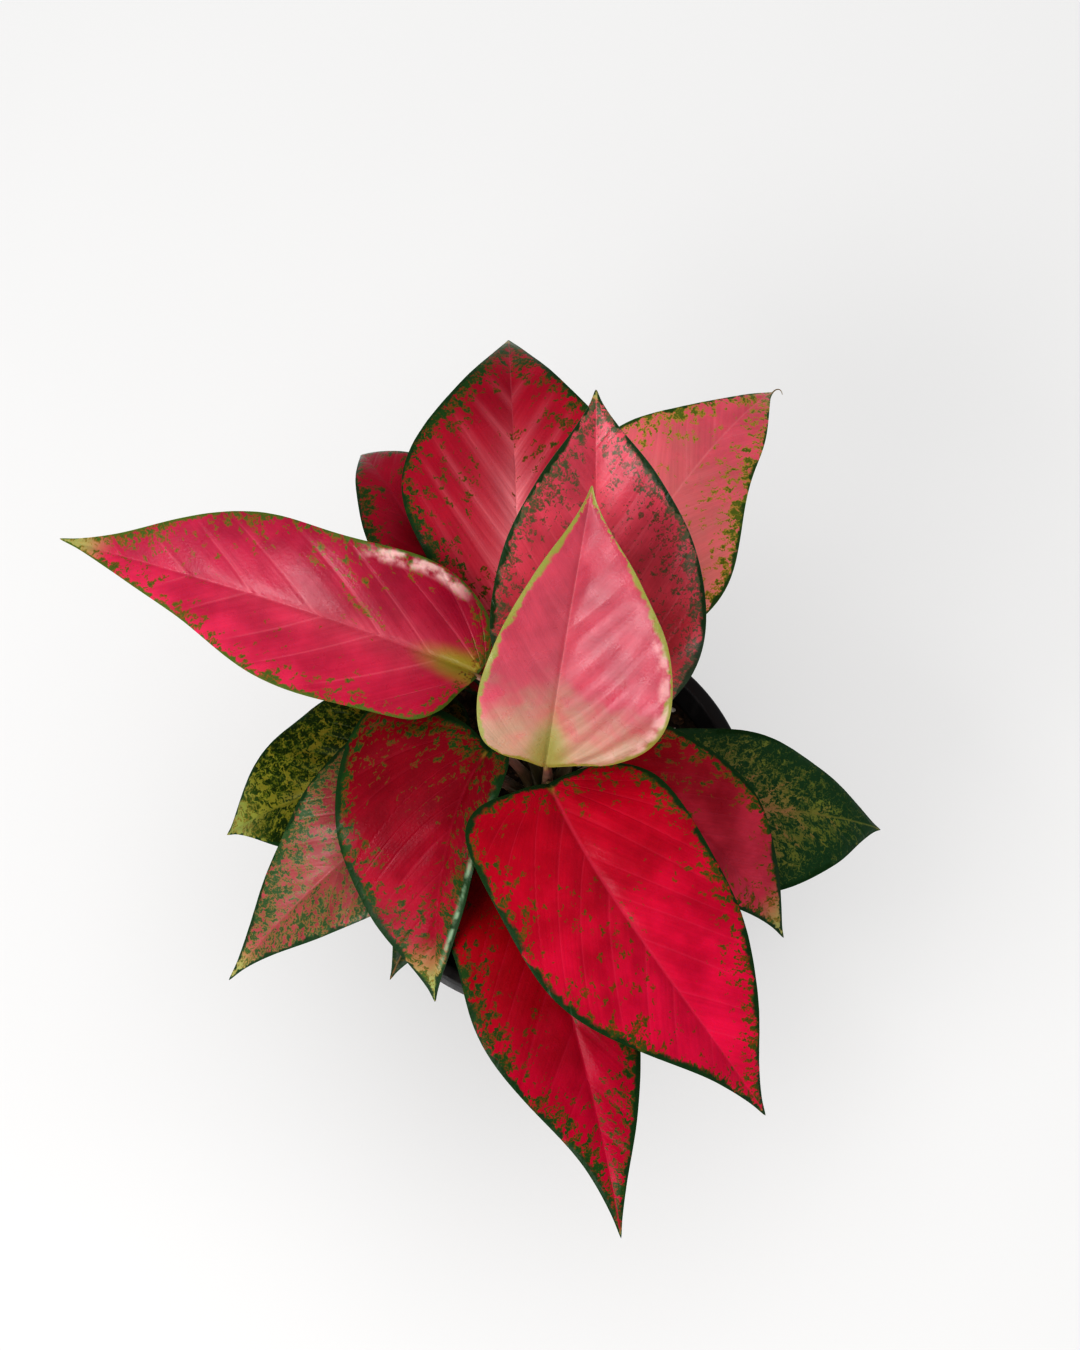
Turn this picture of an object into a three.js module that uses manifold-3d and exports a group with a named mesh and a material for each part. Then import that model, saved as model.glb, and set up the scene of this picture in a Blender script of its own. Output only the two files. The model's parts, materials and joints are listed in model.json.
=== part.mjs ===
// A potted Chinese evergreen: fourteen broad, drooping leaves in one rosette on a short stem,
// standing in soil in a plain black nursery pot.
//
// Millimetres, +Z up. The origin is the centre of the pot's underside. The photograph looks
// along +Y from 70 degrees above the horizon, with +X to its right.
//
// A leaf is a blade on a petiole. Each blade is one closed solid with a waved margin, folded
// along its midrib. The leaves are numbered from the youngest, at the crown, to the oldest.
import * as THREE from 'three';
import { mergeVertices } from 'three/addons/utils/BufferGeometryUtils.js';
import Module from 'manifold-3d';

const wasm = await Module();
wasm.setup();

// ---- driving dimensions ----

const GAP = 0.3; // clear space between pieces that touch

const POT_HEIGHT = 115;
const POT_RIM_RADIUS = 78;
const POT_FOOT_RADIUS = 56;
const POT_SHOULDER_RADIUS = 74; // where the wall would reach at the top, under the rolled rim
const POT_WALL = 1.8;
const POT_FLOOR = 2.4;
const RIM_BAND = 12; // height of the rolled rim
const RIM_ROUND = 1.4; // rounding of its edges
const DRAIN_COUNT = 8;
const DRAIN_RADIUS = 5;
const DRAIN_CIRCLE = 42;
const DRAIN_SIDES = 16;
const POT_SIDES = 48;

const SOIL_HEIGHT = 100;
const SOIL_LUMPS = 1.4; // how far its surface rises and falls
const LUMP_RADIANS = [0.21, 0.19]; // per millimetre along X and Y, of the broad lumps
const CRUMB_RADIANS = [0.47, -0.36]; // and of the small ones
const CRUMB_SHARE = 0.4; // of the rise and fall
const SOIL_RINGS = 7;

const STEM_FOOT_RADIUS = 8;
const STEM_TOP_RADIUS = 5.2;
const STEM_DEPTH = 42; // how deep it stands in the soil
const STEM_TOP = 163;
const STEM_LEAN = 9; // how far the top leans towards the front
const STEM_SIDES = 14;
const STEM_CROWN = 1.7; // height of its rounded top
const SCAR_SPACING = 8; // between the ring scars of fallen leaves
const SCAR_HEIGHT = 0.5;
const SCAR_HALF_WIDTH = 1;

const BLADE_THICKNESS = 0.8;
const RIB_DEPTH = 1.1; // how far the midrib stands below the blade at its base
const BLADE_ROWS = 16;
const HALF_COLUMNS = 3; // strips across each half of a blade
const VEIN_SWEEP = 1.45; // above 1, the rows sweep forward from the midrib as the side veins do
const MIDRIB_REACH = 0.36; // handle length of the midrib's curve, as a share of base to tip
const RIGHT_PHASE = 1.7; // radians by which the right margin's waves run ahead of the left one's

const LOWEST_FOOT = 107; // height on the stem of the oldest petiole
const FOOT_SPACING = 3.9; // from one petiole's foot to the next
const SHEATH_RADIUS = 4.0;
const PETIOLE_RADIUS = 2.4;
const PETIOLE_TIP_RADIUS = 1.1;
const SHEATH_SHARE = 0.4; // of the petiole's length
const FOOT_INSET = 3; // how far inside the stem's surface a petiole starts
const PETIOLE_CLIMB = 70; // degrees above the horizon at the foot
const PETIOLE_ARRIVAL = 48; // and at the blade
const PETIOLE_STOP = 2.4; // from its end to the midrib's start
const FOOT_REACH = 0.4; // handle lengths of a petiole's curve, as shares of its length
const BLADE_REACH = 0.35;
const PETIOLE_STEPS = 8;
const PETIOLE_SIDES = 8;

// One half of a blade's outline, from base to tip: share of the length, share of the half width,
// and how far a full lobe moves the point back past the base.
const HALF_OUTLINE = [
  [0, 0, 0],
  [0.015, 0.28, 0.055],
  [0.055, 0.62, 0.07],
  [0.16, 0.9, 0.04],
  [0.33, 1, 0.01],
  [0.54, 0.86, 0],
  [0.73, 0.55, 0],
  [0.87, 0.22, 0],
  [0.945, 0.07, 0],
  [1, 0, 0],
];

// Each blade runs from its base to its tip. It leaves the base climbing by `rise` degrees and
// reaches the tip at `fall`, and `lead` and `trail` turn those two directions anticlockwise.
// Pairs are for the left and the right half, seen from above with the tip ahead: `fold` lifts a
// half from the midrib, `curl` bends it down again, `halves` scales its width, `lobe` is 1 for a
// full heart-shaped lobe, and `point` above 1 draws the tip out. `ripple` swells the outline,
// most at the share `crest` of its length, and `wave` is how far the margin goes up and down.
// `arrival` is the heading and the climb of the petiole where it meets the blade, if it isn't
// simply away from the stem.
const DEFAULTS = {
  lead: 0,
  trail: 0,
  curl: [16, 16],
  halves: [1, 1],
  lobe: [0.5, 0.5],
  point: [1, 1],
  ripple: [0, 0],
  crest: [0.5, 0.5],
  waves: 2.5,
  wave: 2,
  phase: 0,
};

const LEAVES = [
  { // front centre, upright
    base: [-2, -16, 214], tip: [13, 50, 309], width: 74, rise: 66, fall: 46,
    fold: [34, 14], halves: [0.77, 1.08], lobe: [-0.8, -0.5], point: [1.05, 0.9],
    wave: 1.5, phase: 0.5, arrival: [-100, 66], colour: '#dd7083',
  },
  { // behind it, upright
    base: [15, 9, 194], tip: [15, 95, 288], width: 80, rise: 62, fall: 24,
    fold: [24, 24], curl: [14, 14], halves: [0.95, 1], lobe: [0.3, 0.3], point: [0.8, 0.76],
    phase: 1, colour: '#c4405a',
  },
  { // far left
    base: [-26, 25, 198], tip: [-181, 79, 196], width: 74, rise: 24, fall: -18,
    lead: 4, trail: -4, fold: [8, 30], halves: [0.83, 0.89], lobe: [-0.8, 0.3],
    point: [1.25, 1], ripple: [0.1, 0.1], crest: [0.45, 0.6], waves: 2, wave: 3, phase: 2,
    colour: '#cf3152',
  },
  { // lower right, the largest
    base: [-1, -16, 198], tip: [77, -126, 150], width: 86, rise: 14, fall: -52,
    lead: -14, trail: 8, fold: [12, 12], halves: [0.93, 0.97], lobe: [0.2, 0.3],
    point: [1.1, 1.4], ripple: [0.04, 0.1], crest: [0.6, 0.5], waves: 1.6, arrival: [-90, 84],
    colour: '#c01237',
  },
  { // lower left
    base: [-22, 0, 190], tip: [-43, -80, 131], width: 76, rise: 6, fall: -66,
    lead: -20, trail: 10, fold: [38, 6], curl: [14, 14], halves: [0.4, 1.24],
    lobe: [0.6, 0.6], point: [1.25, 1.55], colour: '#8e1f38',
  },
  { // top
    base: [-10, 28, 182], tip: [-16, 163, 191], width: 80, rise: 42, fall: -48,
    fold: [16, 16], curl: [24, 24], halves: [0.93, 0.95], lobe: [0.4, 0.4], point: [0.85, 0.85],
    ripple: [0.2, 0.19], crest: [0.55, 0.5], waves: 1.4, colour: '#b01d3f',
  },
  { // top right
    base: [9, 32, 176], tip: [84, 141, 191], width: 68, rise: 44, fall: -44,
    lead: 12, trail: -4, fold: [14, 14], curl: [18, 18], halves: [1, 0.99], lobe: [0.4, 0.4],
    point: [0.95, 1], ripple: [0.13, 0.1], crest: [0.58, 0.42], waves: 2, colour: '#d4687a',
  },
  { // right
    base: [17, -3, 178], tip: [87, -56, 133], width: 64, rise: 6, fall: -54,
    lead: 10, trail: -10, fold: [14, 14], halves: [0.86, 1], point: [1.1, 1.75],
    ripple: [0.05, 0], crest: [0.45, 0.5], waves: 2, colour: '#9c1a34',
  },
  { // behind, upper left
    base: [-22, 32, 168], tip: [-73, 127, 165], width: 56, rise: 44, fall: -60,
    fold: [12, 12], curl: [24, 24], halves: [0.7, 1.05], lobe: [0.4, 0.4],
    point: [0.8, 0.8], colour: '#7d1a2c',
  },
  { // lower left, under the fifth
    base: [-34, 0, 162], tip: [-122, -67, 112], width: 56, rise: 8, fall: -50,
    fold: [12, 12], curl: [14, 14], halves: [1.12, 1.25], lobe: [0.6, 0.6], point: [1.6, 1.7],
    arrival: [180, 30], colour: '#8f4a4c',
  },
  { // bottom
    base: [-12, -26, 150], tip: [26, -163, 105], width: 66, rise: 18, fall: -54,
    lead: 2, trail: -4, fold: [12, 9], halves: [0.8, 1.24], lobe: [0.6, 0.6],
    point: [1.25, 1.7], ripple: [0.05, 0.12], crest: [0.55, 0.5], waves: 1.6, colour: '#98122c',
  },
  { // far right
    base: [24, -11, 148], tip: [127, -9, 117], width: 70, rise: 12, fall: -50,
    fold: [8, 0], halves: [0.92, 0.96], lobe: [1, 1], point: [1, 0.85], colour: '#3c4a2c',
  },
  { // left, under the tenth
    base: [-32, 10, 152], tip: [-124, -12, 120], width: 64, rise: 12, fall: -50,
    fold: [10, 10], curl: [14, 14], halves: [1, 1.03], lobe: [1, 1], point: [1.1, 0.8],
    colour: '#4f4a26',
  },
  { // lowest, over the pot's rim at the front left
    base: [-22, -8, 136], tip: [-61, -67, 112], width: 40, rise: 8, fall: -52,
    fold: [10, 10], curl: [14, 14], lobe: [1, 1], point: [1.4, 1.4], colour: '#3e3a24',
  },
];

// ---- materials ----

const finish = (color, roughness) => new THREE.MeshStandardMaterial({ color, roughness, metalness: 0 });

const potMaterial = finish('#1b1b1d', 0.55);
const soilMaterial = finish('#2d2018', 0.95);
const stemMaterial = finish('#b98f7c', 0.5);
const bladeMaterial = (colour) => finish(colour, 0.38);

// ---- meshes and booleans ----

const MERGE_DISTANCE = 1e-4;
const radians = THREE.MathUtils.degToRad;
const vector = (values) => new THREE.Vector3(...values);

function geometryFrom(vertices, triangles) {
  const geometry = new THREE.BufferGeometry();
  const positions = vertices.flatMap((point) => point.toArray());
  geometry.setAttribute('position', new THREE.Float32BufferAttribute(positions, 3));
  geometry.setIndex(triangles.flat());
  return geometry;
}

function toSolid(geometry) {
  const bare = geometry.clone();
  bare.deleteAttribute('normal');
  bare.deleteAttribute('uv');
  const merged = mergeVertices(bare, MERGE_DISTANCE);
  const vertProperties = new Float32Array(merged.attributes.position.array);
  const triVerts = new Uint32Array(merged.index.array);
  return new wasm.Manifold(new wasm.Mesh({ numProp: 3, vertProperties, triVerts }));
}

function toGeometry(solid) {
  const mesh = solid.getMesh();
  const geometry = new THREE.BufferGeometry();
  geometry.setAttribute('position', new THREE.BufferAttribute(mesh.vertProperties, 3));
  geometry.setIndex(new THREE.BufferAttribute(mesh.triVerts, 1));
  return geometry;
}

// ---- tubes ----

// A closed tube through rings of points, each anticlockwise seen from the last ring's end.
function tubeThrough(rings) {
  const sides = rings[0].length;
  const last = (rings.length - 1) * sides;
  const triangles = [];
  for (let start = 0; start < last; start += sides) {
    for (let side = 0; side < sides; side += 1) {
      const here = start + side;
      const next = start + ((side + 1) % sides);
      triangles.push([here, next, next + sides], [here, next + sides, here + sides]);
    }
  }
  for (let side = 1; side < sides - 1; side += 1) {
    triangles.push([0, side + 1, side], [last, last + side, last + side + 1]);
  }
  return geometryFrom(rings.flat(), triangles);
}

function ringAround(centre, across, upward, radius, sides) {
  return Array.from({ length: sides }, (_, side) => {
    const angle = (2 * Math.PI * side) / sides;
    return centre.clone()
      .addScaledVector(across, radius * Math.cos(angle))
      .addScaledVector(upward, radius * Math.sin(angle));
  });
}

// A tube along a curve, with a radius for each share of its length.
function taperedTube(curve, radiusAt, steps, sides) {
  const frames = curve.computeFrenetFrames(steps, false);
  return tubeThrough(frames.normals.map((normal, step) => {
    const share = step / steps;
    const centre = curve.getPointAt(share);
    return ringAround(centre, normal, frames.binormals[step], radiusAt(share), sides);
  }));
}

// ---- pot ----

const wallRadius = (height) =>
  THREE.MathUtils.mapLinear(height, 0, POT_HEIGHT, POT_FOOT_RADIUS, POT_SHOULDER_RADIUS);

// A profile is turned about +Y, which becomes +Z.
function turned(profile, sides) {
  const points = profile.map(([radius, height]) => new THREE.Vector2(radius, height));
  return new THREE.LatheGeometry(points, sides).rotateX(Math.PI / 2);
}

function makePot() {
  const bandFoot = POT_HEIGHT - RIM_BAND;
  const innerTop = wallRadius(POT_HEIGHT) - POT_WALL;
  const body = toSolid(turned([
    [0, 0],
    [POT_FOOT_RADIUS - RIM_ROUND, 0],
    [POT_FOOT_RADIUS, RIM_ROUND],
    [wallRadius(bandFoot), bandFoot],
    [POT_RIM_RADIUS - RIM_ROUND, bandFoot + RIM_ROUND],
    [POT_RIM_RADIUS, bandFoot + 2 * RIM_ROUND],
    [POT_RIM_RADIUS, POT_HEIGHT - RIM_ROUND],
    [POT_RIM_RADIUS - RIM_ROUND, POT_HEIGHT],
    [innerTop + RIM_ROUND, POT_HEIGHT],
    [innerTop, POT_HEIGHT - RIM_ROUND],
    [wallRadius(POT_FLOOR) - POT_WALL, POT_FLOOR],
    [0, POT_FLOOR],
  ], POT_SIDES));
  const holes = [];
  for (let index = 0; index < DRAIN_COUNT; index += 1) {
    const angle = (2 * Math.PI * (index + 0.5)) / DRAIN_COUNT;
    const hole = new THREE.CylinderGeometry(DRAIN_RADIUS, DRAIN_RADIUS, 3 * POT_FLOOR, DRAIN_SIDES);
    hole.rotateX(Math.PI / 2);
    hole.translate(DRAIN_CIRCLE * Math.cos(angle), DRAIN_CIRCLE * Math.sin(angle), POT_FLOOR / 2);
    holes.push(toSolid(hole));
  }
  return toGeometry(holes.reduce((pot, hole) => pot.subtract(hole), body));
}

// ---- soil ----

function soilLump(x, y) {
  const lump = Math.sin(x * LUMP_RADIANS[0]) * Math.cos(y * LUMP_RADIANS[1]);
  const crumb = Math.sin(x * CRUMB_RADIANS[0] + y * CRUMB_RADIANS[1]);
  return SOIL_LUMPS * THREE.MathUtils.lerp(lump, crumb, CRUMB_SHARE);
}

// The soil fills the pot around a plain hole for the stem. Its surface is lumpy, apart from the
// edges at the hole and at the wall.
function makeSoil() {
  const holeRadius = (STEM_FOOT_RADIUS + GAP) / Math.cos(Math.PI / POT_SIDES);
  const holeFloor = SOIL_HEIGHT - STEM_DEPTH - GAP;
  const edgeRadius = (height) => wallRadius(height) - POT_WALL - GAP;
  const outer = edgeRadius(SOIL_HEIGHT);
  const profile = [[0, POT_FLOOR + GAP], [edgeRadius(POT_FLOOR + GAP), POT_FLOOR + GAP]];
  for (let ring = SOIL_RINGS; ring >= 0; ring -= 1) {
    profile.push([THREE.MathUtils.lerp(holeRadius, outer, ring / SOIL_RINGS), SOIL_HEIGHT]);
  }
  profile.push([holeRadius, holeFloor], [0, holeFloor]);
  const geometry = turned(profile, POT_SIDES);
  const position = geometry.attributes.position;
  for (let index = 0; index < position.count; index += 1) {
    const x = position.getX(index);
    const y = position.getY(index);
    const radius = Math.hypot(x, y);
    const onTop = position.getZ(index) > SOIL_HEIGHT - GAP;
    const onEdge = radius < holeRadius + GAP || radius > outer - GAP;
    if (onTop && !onEdge) {
      position.setZ(index, SOIL_HEIGHT + soilLump(x, y));
    }
  }
  return toGeometry(toSolid(geometry));
}

// ---- stem ----

const stemFoot = SOIL_HEIGHT - STEM_DEPTH;

// The stem is upright in the soil and leans forward above it.
function stemCentre(height) {
  const share = Math.max(0, (height - SOIL_HEIGHT) / (STEM_TOP - SOIL_HEIGHT));
  return new THREE.Vector3(0, -STEM_LEAN * share ** 1.5, height);
}

function stemRadius(height) {
  const share = THREE.MathUtils.clamp((height - SOIL_HEIGHT) / (STEM_TOP - SOIL_HEIGHT), 0, 1);
  return THREE.MathUtils.lerp(STEM_FOOT_RADIUS, STEM_TOP_RADIUS, share);
}

function makeStem() {
  const levels = [[stemFoot, STEM_FOOT_RADIUS], [SOIL_HEIGHT + SCAR_HALF_WIDTH, STEM_FOOT_RADIUS]];
  for (let scar = SOIL_HEIGHT + SCAR_SPACING; scar < STEM_TOP - SCAR_HALF_WIDTH; scar += SCAR_SPACING) {
    levels.push([scar - SCAR_HALF_WIDTH, stemRadius(scar - SCAR_HALF_WIDTH)]);
    levels.push([scar, stemRadius(scar) + SCAR_HEIGHT]);
    levels.push([scar + SCAR_HALF_WIDTH, stemRadius(scar + SCAR_HALF_WIDTH)]);
  }
  levels.push([STEM_TOP, STEM_TOP_RADIUS], [STEM_TOP + STEM_CROWN, STEM_TOP_RADIUS / 2]);
  const across = new THREE.Vector3(1, 0, 0);
  const away = new THREE.Vector3(0, 1, 0);
  return tubeThrough(levels.map(
    ([height, radius]) => ringAround(stemCentre(height), across, away, radius, STEM_SIDES),
  ));
}

// ---- blades ----

// A direction from its compass heading and its climb, both in degrees.
function direction(heading, climb) {
  const flat = Math.cos(radians(climb));
  const x = Math.cos(radians(heading)) * flat;
  const y = Math.sin(radians(heading)) * flat;
  return new THREE.Vector3(x, y, Math.sin(radians(climb)));
}

function midrib(leaf) {
  const base = vector(leaf.base);
  const tip = vector(leaf.tip);
  const heading = THREE.MathUtils.radToDeg(Math.atan2(tip.y - base.y, tip.x - base.x));
  const reach = MIDRIB_REACH * base.distanceTo(tip);
  const leave = base.clone().addScaledVector(direction(heading + leaf.lead, leaf.rise), reach);
  const arrive = tip.clone().addScaledVector(direction(heading + leaf.trail, leaf.fall), -reach);
  return new THREE.CubicBezierCurve3(base, leave, arrive, tip);
}

// Half the outline of one side, as a smooth curve of length share against width share.
function halfOutline(leaf, side) {
  const points = HALF_OUTLINE.map(
    ([along, across, back]) => new THREE.Vector3(along - back * leaf.lobe[side], across, 0),
  );
  return new THREE.CatmullRomCurve3(points, false, 'catmullrom', 0.5);
}

// The point of a blade's middle surface at `along` its length and `across` its half width, with
// `across` from -1 on the right margin to 1 on the left one.
function bladePoint(leaf, curve, along, across) {
  const side = across < 0 ? 1 : 0;
  const share = THREE.MathUtils.clamp(along, 0, 1);
  const tangent = curve.getTangentAt(share);
  const left = new THREE.Vector3(0, 0, 1).cross(tangent).normalize();
  const normal = tangent.clone().cross(left);
  const fold = radians(leaf.fold[side]);
  const curl = radians(leaf.curl[side]);
  const spread = Math.abs(across);
  const half = (leaf.width / 2) * leaf.halves[side];
  const out = ((Math.sin(fold) - Math.sin(fold - curl * spread)) / curl) * half;
  const up = ((Math.cos(fold - curl * spread) - Math.cos(fold)) / curl) * half;
  const turn = 2 * Math.PI * leaf.waves * share + leaf.phase + (side === 1 ? RIGHT_PHASE : 0);
  const wave = leaf.wave * spread ** 2 * Math.sin(turn);
  return curve.getPointAt(share)
    .addScaledVector(tangent, (along - share) * curve.getLength())
    .addScaledVector(left, Math.sign(across) * out)
    .addScaledVector(normal, up + wave);
}

// Rows of middle-surface points. The first and the last row are single points.
function bladeRows(leaf) {
  const curve = midrib(leaf);
  const outlines = [halfOutline(leaf, 0), halfOutline(leaf, 1)];
  const rows = [];
  for (let row = 0; row <= BLADE_ROWS; row += 1) {
    const share = row / BLADE_ROWS;
    const start = share ** VEIN_SWEEP;
    const points = [];
    for (let column = -HALF_COLUMNS; column <= HALF_COLUMNS; column += 1) {
      const side = column < 0 ? 1 : 0;
      const spread = Math.abs(column) / HALF_COLUMNS;
      const edge = outlines[side].getPoint(share);
      const edgeAlong = edge.x < 0 ? edge.x : edge.x ** leaf.point[side];
      const swell = 2 * Math.PI * leaf.waves * (edgeAlong - leaf.crest[side]);
      const edgeAcross = edge.y * (1 + leaf.ripple[side] * Math.cos(swell));
      const along = THREE.MathUtils.lerp(start, edgeAlong, spread);
      points.push(bladePoint(leaf, curve, along, Math.sign(column) * spread * edgeAcross));
    }
    rows.push(points);
  }
  return rows;
}

// Unit normals of the rows, from the neighbouring points. The two end points borrow theirs.
function rowNormals(rows) {
  const normals = rows.map((row) => row.map(() => new THREE.Vector3()));
  const columns = rows[0].length;
  for (let row = 1; row < rows.length - 1; row += 1) {
    for (let column = 0; column < columns; column += 1) {
      const ahead = rows[row + 1][column].clone().sub(rows[row - 1][column]);
      const leftmost = rows[row][Math.min(column + 1, columns - 1)];
      const rightmost = rows[row][Math.max(column - 1, 0)];
      normals[row][column].copy(ahead.cross(leftmost.clone().sub(rightmost))).normalize();
    }
  }
  const middle = (columns - 1) / 2;
  normals[0][middle].copy(normals[1][middle]);
  normals[rows.length - 1][middle].copy(normals[rows.length - 2][middle]);
  return normals;
}

// A blade as one closed solid: its middle surface moved out to two faces, joined at the margin.
function makeBlade(leaf) {
  const rows = bladeRows(leaf);
  const normals = rowNormals(rows);
  const vertices = [];
  const addVertex = (row, column, facing) => {
    const rib = column === HALF_COLUMNS && facing < 0 ? RIB_DEPTH * (1 - row / BLADE_ROWS) : 0;
    const offset = facing * (BLADE_THICKNESS / 2 + rib);
    const place = rows[row][column].clone().addScaledVector(normals[row][column], offset);
    return vertices.push(place) - 1;
  };
  // A face's vertex numbers, row by row. The first and the last row share one vertex each.
  const addFace = (facing) => rows.map((points, row) => {
    if (row > 0 && row < BLADE_ROWS) {
      return points.map((_, column) => addVertex(row, column, facing));
    }
    const end = addVertex(row, HALF_COLUMNS, facing);
    return points.map(() => end);
  });
  const top = addFace(1);
  const bottom = addFace(-1);

  // Each quad is split from its first corner to its third.
  const triangles = [];
  const addQuad = (a, b, c, d) => {
    [[a, b, c], [a, c, d]].forEach((triangle) => {
      if (new Set(triangle).size === 3) {
        triangles.push(triangle);
      }
    });
  };
  const edge = 2 * HALF_COLUMNS;
  for (let row = 0; row < BLADE_ROWS; row += 1) {
    const next = row + 1;
    for (let column = 0; column < edge; column += 1) {
      const corners = (face) => [
        face[row][column], face[next][column], face[next][column + 1], face[row][column + 1],
      ];
      const [a, b, c, d] = corners(top);
      const [e, f, g, h] = corners(bottom);
      // Each half is split the way its side veins run, alike on both faces.
      if (column < HALF_COLUMNS) {
        addQuad(b, c, d, a);
        addQuad(f, e, h, g);
      } else {
        addQuad(a, b, c, d);
        addQuad(e, h, g, f);
      }
    }
    addQuad(top[row][0], bottom[row][0], bottom[next][0], top[next][0]);
    addQuad(top[row][edge], top[next][edge], bottom[next][edge], bottom[row][edge]);
  }
  return geometryFrom(vertices, triangles);
}

// ---- petioles ----

// A petiole climbs steeply out of the stem, arches over and meets its blade's base from below.
function petioleCurve(leaf, index) {
  const height = LOWEST_FOOT + FOOT_SPACING * (LEAVES.length - 1 - index);
  const centre = stemCentre(height);
  const base = vector(leaf.base);
  const heading = THREE.MathUtils.radToDeg(Math.atan2(base.y - centre.y, base.x - centre.x));
  const start = centre.addScaledVector(direction(heading, 0), stemRadius(height) - FOOT_INSET);
  const length = start.distanceTo(base);
  const arrival = direction(...(leaf.arrival ?? [heading, PETIOLE_ARRIVAL]));
  const end = base.addScaledVector(arrival, -PETIOLE_STOP);
  const leave = start.clone().addScaledVector(direction(heading, PETIOLE_CLIMB), FOOT_REACH * length);
  const arrive = end.clone().addScaledVector(arrival, -BLADE_REACH * length);
  return new THREE.CubicBezierCurve3(start, leave, arrive, end);
}

function petioleRadius(share) {
  if (share < SHEATH_SHARE) {
    return THREE.MathUtils.lerp(SHEATH_RADIUS, PETIOLE_RADIUS, share / SHEATH_SHARE);
  }
  const beyond = (share - SHEATH_SHARE) / (1 - SHEATH_SHARE);
  return THREE.MathUtils.lerp(PETIOLE_RADIUS, PETIOLE_TIP_RADIUS, beyond);
}

function makePetiole(leaf, index) {
  return taperedTube(petioleCurve(leaf, index), petioleRadius, PETIOLE_STEPS, PETIOLE_SIDES);
}

// ---- assembly ----

const plant = new THREE.Group();

function addPiece(name, geometry, material) {
  const mesh = new THREE.Mesh(geometry, material);
  mesh.name = name;
  plant.add(mesh);
}

// The stem and the petioles grew as one piece.
function makeStemWithPetioles(leaves) {
  const petioles = leaves.map((leaf, index) => toSolid(makePetiole(leaf, index)));
  return petioles.reduce((stem, petiole) => stem.add(petiole), toSolid(makeStem()));
}

const leaves = LEAVES.map((leaf) => ({ ...DEFAULTS, ...leaf }));

addPiece('pot', makePot(), potMaterial);
addPiece('soil', makeSoil(), soilMaterial);
addPiece('stem_and_petioles', toGeometry(makeStemWithPetioles(leaves)), stemMaterial);
leaves.forEach((leaf, index) => {
  const name = `leaf_${String(index + 1).padStart(2, '0')}_blade`;
  addPiece(name, makeBlade(leaf), bladeMaterial(leaf.colour));
});

export default plant;
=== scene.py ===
"""The looks of a potted Chinese evergreen, built round its solid model.

Metres, +Z up, in the frame of the solid model. The camera looks along +Y from 70 degrees above the
horizon. Each blade follows the solid blade's own formula on a finer grid, and adds veins, quilting
and a rolled margin. Its colours come from nodes that read where a point lies on the blade: how far
from the base, the midrib and the margin, and where between two side veins.
"""
import json
import math

import bmesh
import bpy
import numpy as np
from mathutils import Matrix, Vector


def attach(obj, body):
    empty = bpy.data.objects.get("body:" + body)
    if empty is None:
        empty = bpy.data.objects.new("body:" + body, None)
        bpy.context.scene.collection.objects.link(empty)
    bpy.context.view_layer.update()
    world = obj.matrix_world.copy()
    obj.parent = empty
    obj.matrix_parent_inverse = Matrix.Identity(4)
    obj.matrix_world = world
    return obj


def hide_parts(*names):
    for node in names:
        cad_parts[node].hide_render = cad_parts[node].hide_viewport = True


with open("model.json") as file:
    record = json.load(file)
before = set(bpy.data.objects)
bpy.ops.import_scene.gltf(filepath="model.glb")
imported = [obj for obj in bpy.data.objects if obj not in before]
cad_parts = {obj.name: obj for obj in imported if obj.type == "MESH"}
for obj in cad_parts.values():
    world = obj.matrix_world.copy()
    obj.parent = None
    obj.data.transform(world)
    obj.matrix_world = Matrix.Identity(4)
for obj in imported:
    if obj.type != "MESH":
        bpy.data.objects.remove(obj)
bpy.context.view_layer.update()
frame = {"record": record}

# ---- sizes shared with the solid model ----

POT_HEIGHT = 0.115
POT_RIM_RADIUS = 0.078
POT_FOOT_RADIUS = 0.056
POT_SHOULDER_RADIUS = 0.074
POT_WALL = 0.0018
POT_FLOOR = 0.0024
RIM_BAND = 0.012
RIM_ROUND = 0.0014
DRAIN_COUNT = 8
DRAIN_RADIUS = 0.005
DRAIN_CIRCLE = 0.042

SOIL_HEIGHT = 0.1
STEM_FOOT_RADIUS = 0.008
STEM_TOP_RADIUS = 0.0052
STEM_DEPTH = 0.042
STEM_TOP = 0.163
STEM_LEAN = 0.009
SCAR_SPACING = 0.008
GAP = 0.0003

VEIN_SWEEP = 1.45
MIDRIB_REACH = 0.36
RIGHT_PHASE = 1.7
RIB_DEPTH = 0.0011

LOWEST_FOOT = 0.107
FOOT_SPACING = 0.0039
SHEATH_RADIUS = 0.004
PETIOLE_RADIUS = 0.0024
PETIOLE_TIP_RADIUS = 0.0011
SHEATH_SHARE = 0.4
FOOT_INSET = 0.003
PETIOLE_CLIMB = 70
PETIOLE_ARRIVAL = 48
PETIOLE_STOP = 0.0024
FOOT_REACH = 0.4
BLADE_REACH = 0.35

# One half of a blade's outline, from base to tip: share of the length, share of the half width,
# and how far a full lobe moves the point back past the base.
HALF_OUTLINE = np.array([
    (0, 0, 0),
    (0.015, 0.28, 0.055),
    (0.055, 0.62, 0.07),
    (0.16, 0.9, 0.04),
    (0.33, 1, 0.01),
    (0.54, 0.86, 0),
    (0.73, 0.55, 0),
    (0.87, 0.22, 0),
    (0.945, 0.07, 0),
    (1, 0, 0),
])

# ---- the leaves, from the youngest, at the crown, to the oldest ----

# The words are the solid model's. Pairs are for the left and the right half, seen from above with
# the tip ahead.
SHAPE = dict(
    lead=0, trail=0, curl=(16, 16), halves=(1, 1), lobe=(0.5, 0.5), point=(1, 1), ripple=(0, 0),
    crest=(0.5, 0.5), waves=2.5, wave=0.002, phase=0, arrival=None,
)

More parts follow.
